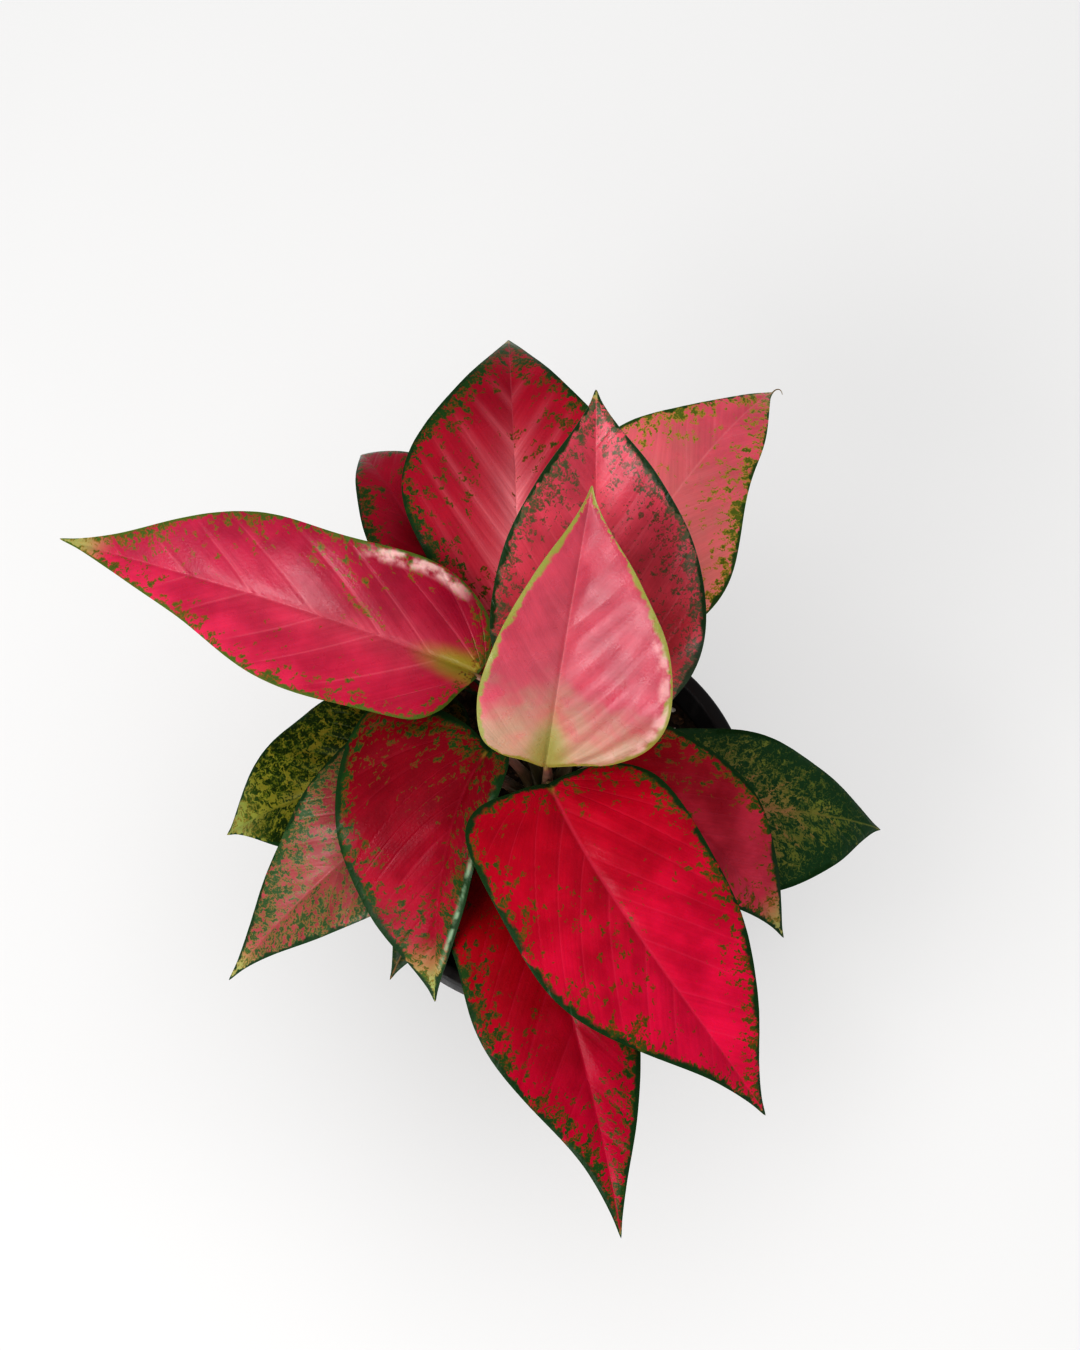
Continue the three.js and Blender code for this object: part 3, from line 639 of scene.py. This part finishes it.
def petiole_rings(leaf, index):
    """Rings of one petiole, which ends in a neck that runs into its blade's midrib."""
    height = LOWEST_FOOT + FOOT_SPACING * (len(LEAVES) - 1 - index)
    centre = stem_centre(height)
    base = np.array(leaf["base"])
    heading = math.degrees(math.atan2(base[1] - centre[1], base[0] - centre[0]))
    start = centre + direction(heading, 0) * (stem_radius(height) - FOOT_INSET)
    length = np.linalg.norm(base - start)
    arrival = direction(*(leaf["arrival"] or (heading, PETIOLE_ARRIVAL)))
    end = base - arrival * PETIOLE_STOP
    stalk = Bezier(
        start,
        start + direction(heading, PETIOLE_CLIMB) * FOOT_REACH * length,
        end - arrival * BLADE_REACH * length,
        end,
    )
    midrib = midrib_of(leaf)
    neck_shares = np.linspace(0, 1, NECK_RINGS + 1)
    ahead = midrib.tangent(neck_shares * NECK_LENGTH / midrib.length)
    below = np.cross(unit(np.cross((0, 0, 1), ahead)), ahead) * NECK_DEPTH
    neck = midrib.at(neck_shares * NECK_LENGTH / midrib.length) + below
    neck += (end - neck[0]) * (1 - neck_shares[:, None]) ** 2
    neck_tangents = unit(np.gradient(neck, axis=0))
    neck_shares = neck_shares[1:]

    shares = np.linspace(0, 1, PETIOLE_RINGS)
    centres = np.vstack([stalk.at(shares), neck[1:]])
    tangents = np.vstack([stalk.tangent(shares), neck_tangents[1:]])
    radii = np.concatenate([
        np.interp(shares, [0, SHEATH_SHARE, 1], [SHEATH_RADIUS, PETIOLE_RADIUS, PETIOLE_TIP_RADIUS]),
        np.interp(neck_shares, [0, 1], [PETIOLE_TIP_RADIUS, NECK_TIP_RADIUS]),
    ])
    # The sheath at the foot is broad and channelled, and the stalk above it is nearly round.
    sheath = np.concatenate([1 - smoothstep(0.15, 0.6, shares), 0 * neck_shares])
    inward = direction(heading + 180, 45)
    sideways = unit(np.cross(tangents, inward))
    upward = np.cross(sideways, tangents)
    angles = circle_angles(PETIOLE_SIDES)
    channel = np.exp(-(((angles - np.pi / 2) / CHANNEL_SPREAD) ** 2))
    wide = (1 + 0.12 * sheath)[:, None] * np.cos(angles)
    deep = np.sin(angles) * (1 - 0.1 * sheath)[:, None] - (0.12 + 0.4 * sheath)[:, None] * channel
    rings = (
        centres[:, None]
        + sideways[:, None] * (radii[:, None] * wide)[..., None]
        + upward[:, None] * (radii[:, None] * deep)[..., None]
    )
    climbed = np.concatenate([shares * NECK_START, NECK_START + (1 - NECK_START) * neck_shares])
    return rings, climbed


def make_stem():
    """The stem and the petioles. `climbed` is how far up its petiole a point lies, -1 on the stem."""
    parts = [(stem_rings(), None)]
    parts += [petiole_rings(leaf, index) for index, leaf in enumerate(LEAVES)]
    points, faces, climbed, around = [], [], [], []
    count = 0
    for rings, shares in parts:
        faces += tube(rings, count)
        points.append(rings.reshape(-1, 3))
        count += len(points[-1])
        shares = np.full(len(rings), -1.0) if shares is None else shares
        climbed.append(np.repeat(shares, rings.shape[1]))
        angles = np.linspace(0, 1, rings.shape[1], endpoint=False)
        around.append(np.tile(angles, len(rings)))
    attributes = {"climbed": np.concatenate(climbed), "around": np.concatenate(around)}
    return make_object("stem_and_stalks", np.vstack(points), faces, attributes)


# ---- pot and soil ----


def wall_radius(height):
    return POT_FOOT_RADIUS + (POT_SHOULDER_RADIUS - POT_FOOT_RADIUS) * height / POT_HEIGHT


def arc(centre, radius, start, end, steps=6):
    """Points of an arc in a profile, from one angle to another, in degrees."""
    angles = np.radians(np.linspace(start, end, steps))
    return [(centre[0] + radius * math.cos(a), centre[1] + radius * math.sin(a)) for a in angles]


def turned(name, profile, sides):
    """A closed piece turned from a profile that starts and ends on the axis."""
    profile = np.array(profile)
    angles = circle_angles(sides)
    x = profile[:, :1] * np.cos(angles)
    y = profile[:, :1] * np.sin(angles)
    z = np.repeat(profile[:, 1:], sides, axis=1)
    points = np.stack([x, y, z], axis=-1).reshape(-1, 3)
    faces = grid_quads(len(profile), sides, flipped=True, wrapped=True)
    return make_object(name, points, faces, sharp_angle=TURNED_CREASE)


def make_pot():
    band = POT_HEIGHT - RIM_BAND
    inner = wall_radius(POT_HEIGHT) - POT_WALL
    outer = POT_RIM_RADIUS - RIM_ROUND
    foot = POT_FOOT_RADIUS - RIM_ROUND
    profile = [(0, 0.0006), (foot - 0.006, 0.0006), (foot - 0.0052, 0)]
    profile += arc((foot, RIM_ROUND), RIM_ROUND, -90, -9)
    profile += [(wall_radius(band), band)]
    profile += arc((outer, band + RIM_ROUND), RIM_ROUND, -90, 0)
    profile += arc((outer, POT_HEIGHT - RIM_ROUND), RIM_ROUND, 0, 90)
    profile += arc((inner + RIM_ROUND, POT_HEIGHT - RIM_ROUND), RIM_ROUND, 90, 180)
    profile += [(wall_radius(POT_FLOOR) - POT_WALL, POT_FLOOR), (0, POT_FLOOR)]
    pot = turned("nursery_pot", profile, POT_SIDES)
    for index in range(DRAIN_COUNT):
        angle = 2 * math.pi * (index + 0.5) / DRAIN_COUNT
        place = (DRAIN_CIRCLE * math.cos(angle), DRAIN_CIRCLE * math.sin(angle), POT_FLOOR / 2)
        bpy.ops.mesh.primitive_cylinder_add(
            vertices=32, radius=DRAIN_RADIUS, depth=3 * POT_FLOOR, location=place
        )
        cutter = bpy.context.object
        cut = pot.modifiers.new("drain", "BOOLEAN")
        cut.operation = "DIFFERENCE"
        cut.object = cutter
        with bpy.context.temp_override(object=pot, active_object=pot):
            bpy.ops.object.modifier_apply(modifier=cut.name)
        bpy.data.objects.remove(cutter)
    pot.data.set_sharp_from_angle(angle=math.radians(TURNED_CREASE))
    return pot


def soil_height(x, y):
    """The soil's lumps, as on the solid model, with finer crumbs."""
    lump = np.sin(x * 210) * np.cos(y * 190)
    crumb = np.sin(x * 470 - y * 360)
    height = SOLID_LUMP * (0.6 * lump + 0.4 * crumb)
    for pitch, size in CRUMBS:
        turn = 2 * np.pi / pitch
        ridge = np.sin(x * turn + 2 * np.sin(y * turn * 0.7))
        height += size * ridge * np.cos(y * turn + 1.5 * np.sin(x * turn * 0.6))
    return height


def make_soil():
    hole = STEM_FOOT_RADIUS + GAP
    outer = wall_radius(SOIL_HEIGHT) - POT_WALL - GAP
    floor = POT_FLOOR + GAP
    profile = [(0, floor), (wall_radius(floor) - POT_WALL - GAP, floor)]
    profile += [(radius, SOIL_HEIGHT) for radius in np.linspace(outer, hole, SOIL_RINGS)]
    profile += [(hole, SOIL_HEIGHT - STEM_DEPTH - GAP), (0, SOIL_HEIGHT - STEM_DEPTH - GAP)]
    soil = turned("soil_surface", profile, SOIL_SIDES)
    for vertex in soil.data.vertices:
        radius = math.hypot(vertex.co.x, vertex.co.y)
        if vertex.co.z > SOIL_HEIGHT - GAP:
            fade = min(1, (outer - radius) / SOIL_EDGE, (radius - hole) / SOIL_EDGE)
            vertex.co.z += float(soil_height(vertex.co.x, vertex.co.y)) * fade
    return soil


def make_grit(name, count, size, flatness, roughening):
    """Small irregular grains, half sunk in the soil, joined in one piece."""
    points, faces = [], []
    ball = bmesh.new()
    bmesh.ops.create_icosphere(ball, subdivisions=2, radius=1)
    shape = np.array([vertex.co[:] for vertex in ball.verts])
    triangles = np.array([[vertex.index for vertex in face.verts] for face in ball.faces])
    ball.free()
    for grain in range(count):
        radius = math.sqrt(RANDOM.uniform(0.02, 0.93)) * (wall_radius(SOIL_HEIGHT) - POT_WALL)
        angle = RANDOM.uniform(0, 2 * math.pi)
        x, y = radius * math.cos(angle), radius * math.sin(angle)
        swells = shape @ RANDOM.normal(0, 2.6, (3, 3)) + RANDOM.uniform(0, 6, 3)
        bumps = 1 + roughening * np.sin(swells).sum(axis=1)
        stretch = np.array([1, RANDOM.uniform(0.55, 0.9), flatness * RANDOM.uniform(0.7, 1.3)])
        turn = RANDOM.uniform(0, 2 * math.pi)
        tilt = RANDOM.uniform(-0.5, 0.5)
        body = shape * bumps[:, None] * stretch * size * RANDOM.uniform(0.5, 1)
        c, s = math.cos(tilt), math.sin(tilt)
        body = body @ np.array([[c, 0, s], [0, 1, 0], [-s, 0, c]])
        c, s = math.cos(turn), math.sin(turn)
        body = body @ np.array([[c, s, 0], [-s, c, 0], [0, 0, 1]])
        sink = float(soil_height(x, y)) + SOIL_HEIGHT - 0.15 * size * flatness
        points.append(body + (x, y, sink))
        faces += (triangles + grain * len(shape)).tolist()
    return make_object(name, np.vstack(points), faces, sharp_angle=40)


# ---- materials ----


class Graph:
    """Adds shader nodes by plain calls. A value may be a number, a colour or a node's socket."""

    def __init__(self, tree):
        self.tree = tree

    def feed(self, socket, value):
        if isinstance(value, bpy.types.NodeSocket):
            self.tree.links.new(value, socket)
        elif socket.type == "RGBA":
            socket.default_value = (*value, 1)
        else:
            socket.default_value = value

    def feed_all(self, node, **values):
        """Feeds the inputs that the words name, with _ for each space."""
        for key, value in values.items():
            self.feed(node.inputs[key.replace("_", " ")], value)

    def node(self, kind, settings=None, **values):
        node = self.tree.nodes.new("ShaderNode" + kind)
        for key, value in (settings or {}).items():
            setattr(node, key, value)
        self.feed_all(node, **values)
        return node

    def math(self, operation, *values):
        node = self.node("Math", {"operation": operation})
        for socket, value in zip(node.inputs, values):
            self.feed(socket, value)
        return node.outputs[0]

    def times(self, first, second):
        return self.math("MULTIPLY", first, second)

    def over(self, first, second):
        return self.math("DIVIDE", first, second)

    def minus(self, first, second):
        return self.math("SUBTRACT", first, second)

    def scaled(self, value, factor, start):
        """start plus factor times value."""
        return self.math("MULTIPLY_ADD", value, factor, start)

    def sway(self, noise, size, start):
        """start, moved by a noise through a range of about size."""
        return self.scaled(self.minus(noise, 0.5), size, start)

    def mix(self, factor, first, second):
        node = self.node("Mix", {"data_type": "RGBA"})
        for index, value in ((0, factor), (6, first), (7, second)):
            self.feed(node.inputs[index], value)
        return node.outputs[2]

    def ramp(self, value, low, high, first=0.0, last=1.0):
        """Goes smoothly from first to last as value goes from low to high."""
        node = self.node("MapRange", {"interpolation_type": "SMOOTHSTEP"})
        for socket, item in zip(node.inputs, (value, low, high, first, last)):
            self.feed(socket, item)
        return node.outputs[0]

    def attribute(self, name, output="Fac"):
        return self.node("Attribute", {"attribute_name": name}).outputs[output]

    def place(self):
        return self.node("TexCoord").outputs["Object"]

    def split(self, vector):
        return self.node("SeparateXYZ", Vector=vector).outputs

    def join(self, x, y, z):
        return self.node("CombineXYZ", X=x, Y=y, Z=z).outputs[0]

    def noise(self, vector, scale, detail=2.0, roughness=0.5):
        node = self.node("TexNoise", Vector=vector, Scale=scale, Detail=detail, Roughness=roughness)
        return node.outputs[0]

    def cells(self, vector, scale):
        """A random number for each small cell."""
        node = self.node("TexVoronoi", Vector=vector, Scale=scale)
        return self.split(node.outputs["Color"])[0]

    def flecks(self, vector, scale, due):
        """How far a point lies inside a fleck. due is the share of cells that hold one."""
        node = self.node("TexVoronoi", {"voronoi_dimensions": "2D"}, Vector=vector, Scale=scale)
        chance = self.split(node.outputs["Color"])[0]
        spare = self.math("MAXIMUM", self.minus(due, chance), 0.0)
        size = self.scaled(self.math("SIGN", spare), 0.5, self.math("SQRT", spare))
        return self.minus(self.minus(size, 0.62), node.outputs["Distance"])

    def bump(self, height, strength=1.0):
        """Relief whose height is in metres."""
        return self.node("Bump", Height=height, Strength=strength, Distance=1.0).outputs[0]


def make_material(name):
    """An empty principled material, its graph and its shader."""
    material = bpy.data.materials.new(name)
    material.use_nodes = True
    return material, Graph(material.node_tree), material.node_tree.nodes["Principled BSDF"]


# What of a leaf's look its nodes read. The rest goes into its mesh and its shader.
SKIN_KEYS = [key for key in LOOK if key not in ("quilt", "gloss", "veins", "lift")]


def make_skin():
    """The node group that all blades share: colour, roughness and relief from a point's place."""
    tree = bpy.data.node_groups.new("leaf_skin", "ShaderNodeTree")
    inputs = [(key, "Color" if isinstance(LOOK[key], tuple) else "Float") for key in SKIN_KEYS]
    outputs = [("colour", "Color"), ("roughness", "Float"), ("height", "Float")]
    for way, sockets in (("INPUT", inputs + [("seed", "Float")]), ("OUTPUT", outputs)):
        for key, kind in sockets:
            tree.interface.new_socket(key, in_out=way, socket_type="NodeSocket" + kind)
    graph = Graph(tree)
    given = tree.nodes.new("NodeGroupInput").outputs
    result = tree.nodes.new("NodeGroupOutput").inputs
    times, over, minus, scaled = graph.times, graph.over, graph.minus, graph.scaled
    sway, mix, ramp, noise = graph.sway, graph.mix, graph.ramp, graph.noise

    along, across, top = graph.split(graph.attribute("flat", "Vector"))
    share, phase, rib = graph.split(graph.attribute("place", "Vector"))
    edge = graph.attribute("edge")
    out = graph.math("ABSOLUTE", across)
    half = scaled(graph.math("SIGN", across), 3.0, given["seed"])
    spot = graph.join(along, across, given["seed"])

    # Flecks are rounded, a little longer along the side veins, and wider where more green is due.
    shift = times(half, 0.1)
    aslant = scaled(out, -0.74, scaled(along, 0.67, shift))
    astride = scaled(out, 0.42, scaled(along, 0.46, shift))
    swirl = graph.split(graph.node("TexNoise", Vector=spot, Scale=520, Detail=2).outputs["Color"])
    aslant = scaled(swirl[0], FLECK_SWIRL, aslant)
    astride = scaled(swirl[1], FLECK_SWIRL, astride)
    grain = graph.join(aslant, astride, 0.0)
    closeness = graph.math("EXPONENT", over(times(edge, -1.0), given["reach"]))
    due = scaled(minus(given["busy"], given["calm"]), closeness, given["calm"])
    due = sway(noise(spot, 42, 1.0), 0.9, due)
    cloud = noise(spot, 60, 3.0, 0.55)
    from_tip = sway(cloud, 0.12, minus(1.0, share))
    tipped = ramp(over(from_tip, given["tip_share"]), 0.3, 1.2, 0.95, 0.0)
    due = scaled(tipped, -0.45, due)
    large = graph.flecks(grain, times(given["fine"], LARGE_FLECKS), due)
    small = graph.flecks(grain, times(given["fine"], SMALL_FLECKS), times(due, 0.85))
    excess = sway(noise(spot, 1300, 2.0), 0.9, graph.math("MAXIMUM", large, small))
    on_rib = ramp(rib, 0.2, 1.2, 1.0, 0.0)
    off_rib = scaled(on_rib, -0.8, 1.0)
    olive = times(ramp(excess, -0.15, 0.04), off_rib)
    green = times(ramp(excess, 0.04, 0.38), off_rib)

    # The blade's own colour, paler along the veins and beside the midrib. Beside the midrib and
    # between the side veins, the pallor is partly its own colouring and partly painted sheen.
    drift = sway(cloud, 0.5, share)
    body = mix(ramp(drift, 0.1, given["turn"]), given["near"], given["far"])
    fibre = graph.join(times(phase, 0.02), times(out, 0.12), half)
    fibres = noise(fibre, 500, 3.0, 0.6)
    streaks = ramp(fibres, 0.3, 0.7, -0.04, 0.05)
    shade = graph.math("ADD", ramp(cloud, 0.3, 0.7, 0.82, 1.06), streaks)
    # Painted light and shade: left_tone and right_tone make each half lighter or darker, as light
    # falls on it.
    tone = ramp(across, -HALF_BLUR, HALF_BLUR, given["right_tone"], given["left_tone"])
    body = graph.node("HueSaturation", Value=times(shade, tone), Color=body).outputs[0]
    beside = graph.math("PINGPONG", phase, 0.5)
    side_vein = times(ramp(beside, 0.0, 0.045, 1.0, 0.0), ramp(edge, 0.001, 0.012))
    # The glow beside the midrib and the broad pallor between side veins are partly the leaf's own pale
    # colouring and partly painted sheen.
    glow = graph.math("EXPONENT", over(out, -GLOW_REACH))
    glow = times(glow, ramp(share, 0.75, 0.3, 0.0, 1.0))
    broad = times(ramp(beside, 0.3, 0.0), ramp(edge, 0.0, 0.02))
    streak = times(given["streak"], ramp(fibres, 0.3, 0.75, 0.7, 1.1))
    sheen = times(scaled(broad, 0.14, glow), streak)
    paleness = scaled(side_vein, given["vein"], sheen)
    midrib = times(on_rib, ramp(share, 0.2, 0.9, 1.0, 0.35))
    paleness = graph.math("MAXIMUM", paleness, times(midrib, given["midrib"]))
    colour = mix(graph.math("MINIMUM", paleness, 0.9), body, given["pale"])

    # The tint at the base, the tip's colour, the flecks, the green rim and a painted highlight along
    # one margin.
    stretched = times(out, 3.2)
    squares = graph.math("ADD", times(along, along), times(stretched, stretched))
    ending = sway(cloud, 0.012, graph.math("SQRT", squares))
    tinted = over(ending, given["tint_reach"])
    colour = mix(ramp(tinted, 0.4, 1.3, 0.9, 0.0), colour, given["tint"])
    colour = mix(tipped, colour, given["tip_colour"])
    colour = mix(olive, colour, mix(tipped, given["olive"], TIP_OLIVE))
    colour = mix(green, colour, mix(tipped, given["fleck"], TIP_GREEN))
    wobble = sway(noise(spot, 330, 2.0), 0.0034, edge)
    width = times(given["rim"], ramp(share, 0.75, 1.0, 1.0, 0.3))
    width = times(width, ramp(noise(spot, 75, 1.0), 0.35, 0.6, 0.35, 1.2))
    in_rims = over(wobble, width)
    colour = mix(ramp(in_rims, 0.55, 1.2, 1.0, 0.0), colour, given["rim_colour"])
    # The band is a painted highlight: a pale streak laid along one margin, broken up by noise.
    from_middle = over(minus(share, given["band_share"]), given["band_span"])
    in_bands = over(edge, given["band_width"])
    banded = times(ramp(edge, 0.0006, 0.0016), ramp(in_bands, 1.0, 0.5))
    banded = times(banded, ramp(graph.math("ABSOLUTE", from_middle), 1.0, 0.5))
    on_side = graph.math("GREATER_THAN", times(across, given["band_side"]), 0.0)
    banded = times(banded, on_side)
    banded = times(banded, ramp(noise(spot, 170, 3.0), 0.36, 0.6))
    colour = mix(times(banded, given["band"]), colour, given["band_colour"])

    # The underside is paler and duller, with its ribs lighter.
    back = mix(times(green, 0.55), given["under"], given["fleck"])
    back = mix(ramp(cloud, 0.35, 0.7, 0.0, 0.35), back, given["near"])
    ribs = graph.math("MAXIMUM", times(side_vein, 0.5), on_rib)
    back = mix(ribs, back, given["pale"])
    back = mix(ramp(in_rims, 0.55, 1.2, 0.9, 0.0), back, given["rim_colour"])
    graph.feed(result["colour"], mix(top, back, colour))

    gloss = ramp(noise(spot, 140, 2.0), 0.3, 0.7, 0.26, 0.36)
    graph.feed(result["roughness"], scaled(minus(1.0, top), 0.2, gloss))

    # Relief in metres: sunk side veins, finer ones between them and the skin's own grain.
    minor = graph.math("PINGPONG", scaled(fibres, 0.5, times(phase, 5.0)), 0.5)
    veins = times(ramp(beside, 0.0, 0.12), times(given["vein"], 0.0007))
    veins = scaled(ramp(minor, 0.0, 0.4), 0.000012, veins)
    relief = scaled(noise(spot, 900, 3.0, 0.6), 0.00009, veins)
    relief = scaled(noise(fibre, 900, 2.0, 0.6), 0.00003, relief)
    graph.feed(result["height"], relief)
    return tree


def leaf_material(leaf, skin, seed):
    material, graph, shader = make_material(leaf["name"] + "_skin")
    group = material.node_tree.nodes.new("ShaderNodeGroup")
    group.node_tree = skin
    graph.feed(group.inputs["seed"], seed)
    for key in SKIN_KEYS:
        graph.feed(group.inputs[key], leaf[key])
    graph.feed_all(
        shader, Base_Color=group.outputs["colour"], Roughness=group.outputs["roughness"],
        Normal=graph.bump(group.outputs["height"]), Specular_IOR_Level=leaf["gloss"],
        Subsurface_Weight=0.12, Subsurface_Radius=(1.0, 0.25, 0.15), Subsurface_Scale=0.0015,
    )
    return material


def stem_material():
    """Dark at the foot, paler up each petiole, with fine lines along it."""
    material, graph, shader = make_material("stalk_skin")
    climbed = graph.attribute("climbed")
    place = graph.place()
    lengthwise = graph.times(graph.split(place)[2], 0.05)
    lines = graph.join(graph.times(graph.attribute("around"), 0.05), lengthwise, 0.0)
    lines = graph.noise(lines, 900, 3.0)
    blotch = graph.noise(place, 220, 3.0)
    level = graph.sway(blotch, 0.35, climbed)
    colour = graph.mix(graph.ramp(level, 0.0, 0.4), (0.045, 0.045, 0.018), (0.08, 0.055, 0.028))
    colour = graph.mix(graph.ramp(level, 0.4, 0.75), colour, (0.3, 0.15, 0.115))
    colour = graph.mix(graph.ramp(level, 0.75, 0.95), colour, (0.24, 0.19, 0.07))
    colour = graph.mix(graph.ramp(climbed, -0.9, -0.2, 1.0, 0.0), colour, (0.07, 0.06, 0.03))
    colour = graph.mix(graph.ramp(lines, 0.45, 0.7, 0.0, 0.5), colour, (0.1, 0.1, 0.04))
    relief = graph.scaled(lines, 0.00018, graph.times(blotch, 0.0002))
    graph.feed_all(
        shader, Base_Color=colour, Roughness=graph.ramp(blotch, 0.3, 0.7, 0.35, 0.5),
        Normal=graph.bump(relief), Subsurface_Weight=0.15, Subsurface_Radius=(1.0, 0.5, 0.3),
        Subsurface_Scale=0.001,
    )
    return material


def pot_material():
    """Black plastic with faint rings from its mould, and dust in its scuffs."""
    material, graph, shader = make_material("black_plastic")
    place = graph.place()
    x, y, z = graph.split(place)
    grain = graph.noise(place, 2600, 2.0)
    scuffs = graph.noise(graph.join(x, y, graph.times(z, 0.25)), 130, 5.0, 0.7)
    dust = graph.times(graph.ramp(scuffs, 0.5, 0.75), 0.5)
    rings = graph.times(graph.math("SINE", graph.times(z, 5200.0)), 0.000012)
    graph.feed_all(
        shader, Base_Color=graph.mix(dust, (0.012, 0.012, 0.013), (0.045, 0.04, 0.036)),
        Roughness=graph.ramp(scuffs, 0.35, 0.7, 0.42, 0.62),
        Normal=graph.bump(graph.scaled(grain, 0.00006, rings)),
    )
    return material


def soil_material(name, dark, light, speck, roughness):
    """Crumbly matter: dark, with light crumbs and specks of a third colour."""
    material, graph, shader = make_material(name)
    place = graph.place()
    crumbs = graph.noise(place, 520, 6.0, 0.7)
    clods = graph.noise(place, 150, 3.0, 0.6)
    bits = graph.cells(place, 700)
    colour = graph.mix(graph.ramp(crumbs, 0.38, 0.66), dark, light)
    colour = graph.mix(graph.ramp(bits, 0.88, 0.93), colour, speck)
    colour = graph.mix(graph.ramp(clods, 0.35, 0.6, 0.55, 0.0), colour, dark)
    relief = graph.scaled(crumbs, 0.0016, graph.times(clods, 0.002))
    relief = graph.scaled(bits, 0.0003, relief)
    graph.feed_all(shader, Base_Color=colour, Roughness=roughness, Normal=graph.bump(relief, 0.7))
    return material


def floor_material():
    material, graph, shader = make_material("pale_floor")
    tone = graph.ramp(graph.noise(graph.place(), 3.0, 2.0), 0.3, 0.7)
    graph.feed_all(
        shader, Base_Color=graph.mix(tone, (0.36, 0.358, 0.356), (0.37, 0.368, 0.366)),
        Roughness=0.9, Specular_IOR_Level=0.1, Emission_Color=(1, 1, 1), Emission_Strength=0.345,
    )
    return material


# ---- assembly ----


def dress(piece, material, slot, *nodes):
    """Gives a piece its material and its place in the frame."""
    piece.data.materials.append(material)
    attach(piece, "root")
    if nodes:
        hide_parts(*nodes)


SLOTS = {row["node"]: row["material_slot"] for row in frame["record"]["subparts"]}

skin = make_skin()
for number, leaf in enumerate(LEAVES):
    node = leaf["name"] + "_blade"
    blade = make_blade(leaf, seed=100 + number)
    dress(blade, leaf_material(leaf, skin, seed=number * 7.3), SLOTS[node], node)

stalk_skin = stem_material()
dress(make_stem(), stalk_skin, "stem", "stem_and_petioles")
dress(make_thread(), stalk_skin, "stem")
dress(make_pot(), pot_material(), "pot", "pot")
earth = soil_material(
    "peat", dark=(0.011, 0.007, 0.004), light=(0.05, 0.03, 0.018), speck=(0.1, 0.06, 0.03),
    roughness=0.92,
)
dress(make_soil(), earth, "soil", "soil")
bark = soil_material(
    "bark", dark=(0.022, 0.012, 0.006), light=(0.09, 0.045, 0.02), speck=(0.14, 0.08, 0.04),
    roughness=0.8,
)
chips = make_grit("bark_chips", count=150, size=0.0042, flatness=0.35, roughening=0.09)
dress(chips, bark, "soil")
white = soil_material(
    "perlite", dark=(0.42, 0.4, 0.36), light=(0.72, 0.7, 0.66), speck=(0.8, 0.79, 0.76),
    roughness=0.85,
)
grains = make_grit("perlite_grains", count=90, size=0.0017, flatness=0.8, roughening=0.06)
dress(grains, white, "soil")

# ---- stage, light and camera ----

FLOOR_REACH = 30.0
WORLD_STRENGTH = 0.25
WARM_WHITE = (1, 0.99, 0.98)

CROWN = (-0.004, 0.024, 0.2)  # what the photograph's view is centred on
CAMERA_DISTANCE = 1.0
CAMERA_ELEVATION = 70
SENSOR_WIDTH = 36
PHOTO_HEIGHT_PX = 1350
PX_SIZE_AT_CROWN = 0.00036  # metres of the object that one pixel covers there


def make_floor():
    mesh = bpy.data.meshes.new("floor")
    reach = FLOOR_REACH
    corners = [(-reach, -reach, 0), (reach, -reach, 0), (reach, reach, 0), (-reach, reach, 0)]
    mesh.from_pydata(corners, [], [(0, 1, 2, 3)])
    floor = put_in_scene("floor", mesh)
    floor.data.materials.append(floor_material())


def make_softbox(name, place, width, height, power, colour=WARM_WHITE, mirrored=True):
    """A lamp that is aimed at the crown. Its power is in watts."""
    light = bpy.data.lights.new(name, "AREA")
    light.shape = "RECTANGLE"
    light.size = width
    light.size_y = height
    light.energy = power
    light.color = colour
    lamp = put_in_scene(name, light)
    lamp.location = place
    aim = Vector(CROWN) - Vector(place)
    lamp.rotation_euler = aim.to_track_quat("-Z", "Y").to_euler()
    lamp.visible_glossy = mirrored


def make_camera():
    camera = bpy.data.cameras.new("camera")
    camera.sensor_width = SENSOR_WIDTH
    camera.lens = SENSOR_WIDTH * CAMERA_DISTANCE / (PHOTO_HEIGHT_PX * PX_SIZE_AT_CROWN)
    camera.clip_start = 0.05
    camera.clip_end = 100
    eye = put_in_scene("camera", camera)
    elevation = math.radians(CAMERA_ELEVATION)
    back = Vector((0, -math.cos(elevation), math.sin(elevation)))
    eye.location = Vector(CROWN) + back * CAMERA_DISTANCE
    eye.rotation_euler = (-back).to_track_quat("-Z", "Y").to_euler()
    bpy.context.scene.camera = eye


def make_world():
    world = bpy.data.worlds.new("studio")
    world.use_nodes = True
    background = world.node_tree.nodes["Background"]
    background.inputs["Color"].default_value = (1, 1, 1, 1)
    background.inputs["Strength"].default_value = WORLD_STRENGTH
    bpy.context.scene.world = world


make_floor()
make_softbox(
    "overhead", (0.1, 0.3, 2.2), width=2.4, height=2.4, power=25, colour=(1, 1, 1), mirrored=False
)
make_softbox("key", (-0.83, -0.75, 1.2), width=0.7, height=0.7, power=9)
make_softbox("front", (-0.5, -1.5, 0.4), width=1.2, height=0.5, power=8)
make_world()
make_camera()
bpy.context.scene.view_settings.view_transform = "Standard"
bpy.context.scene.view_settings.look = "High Contrast"
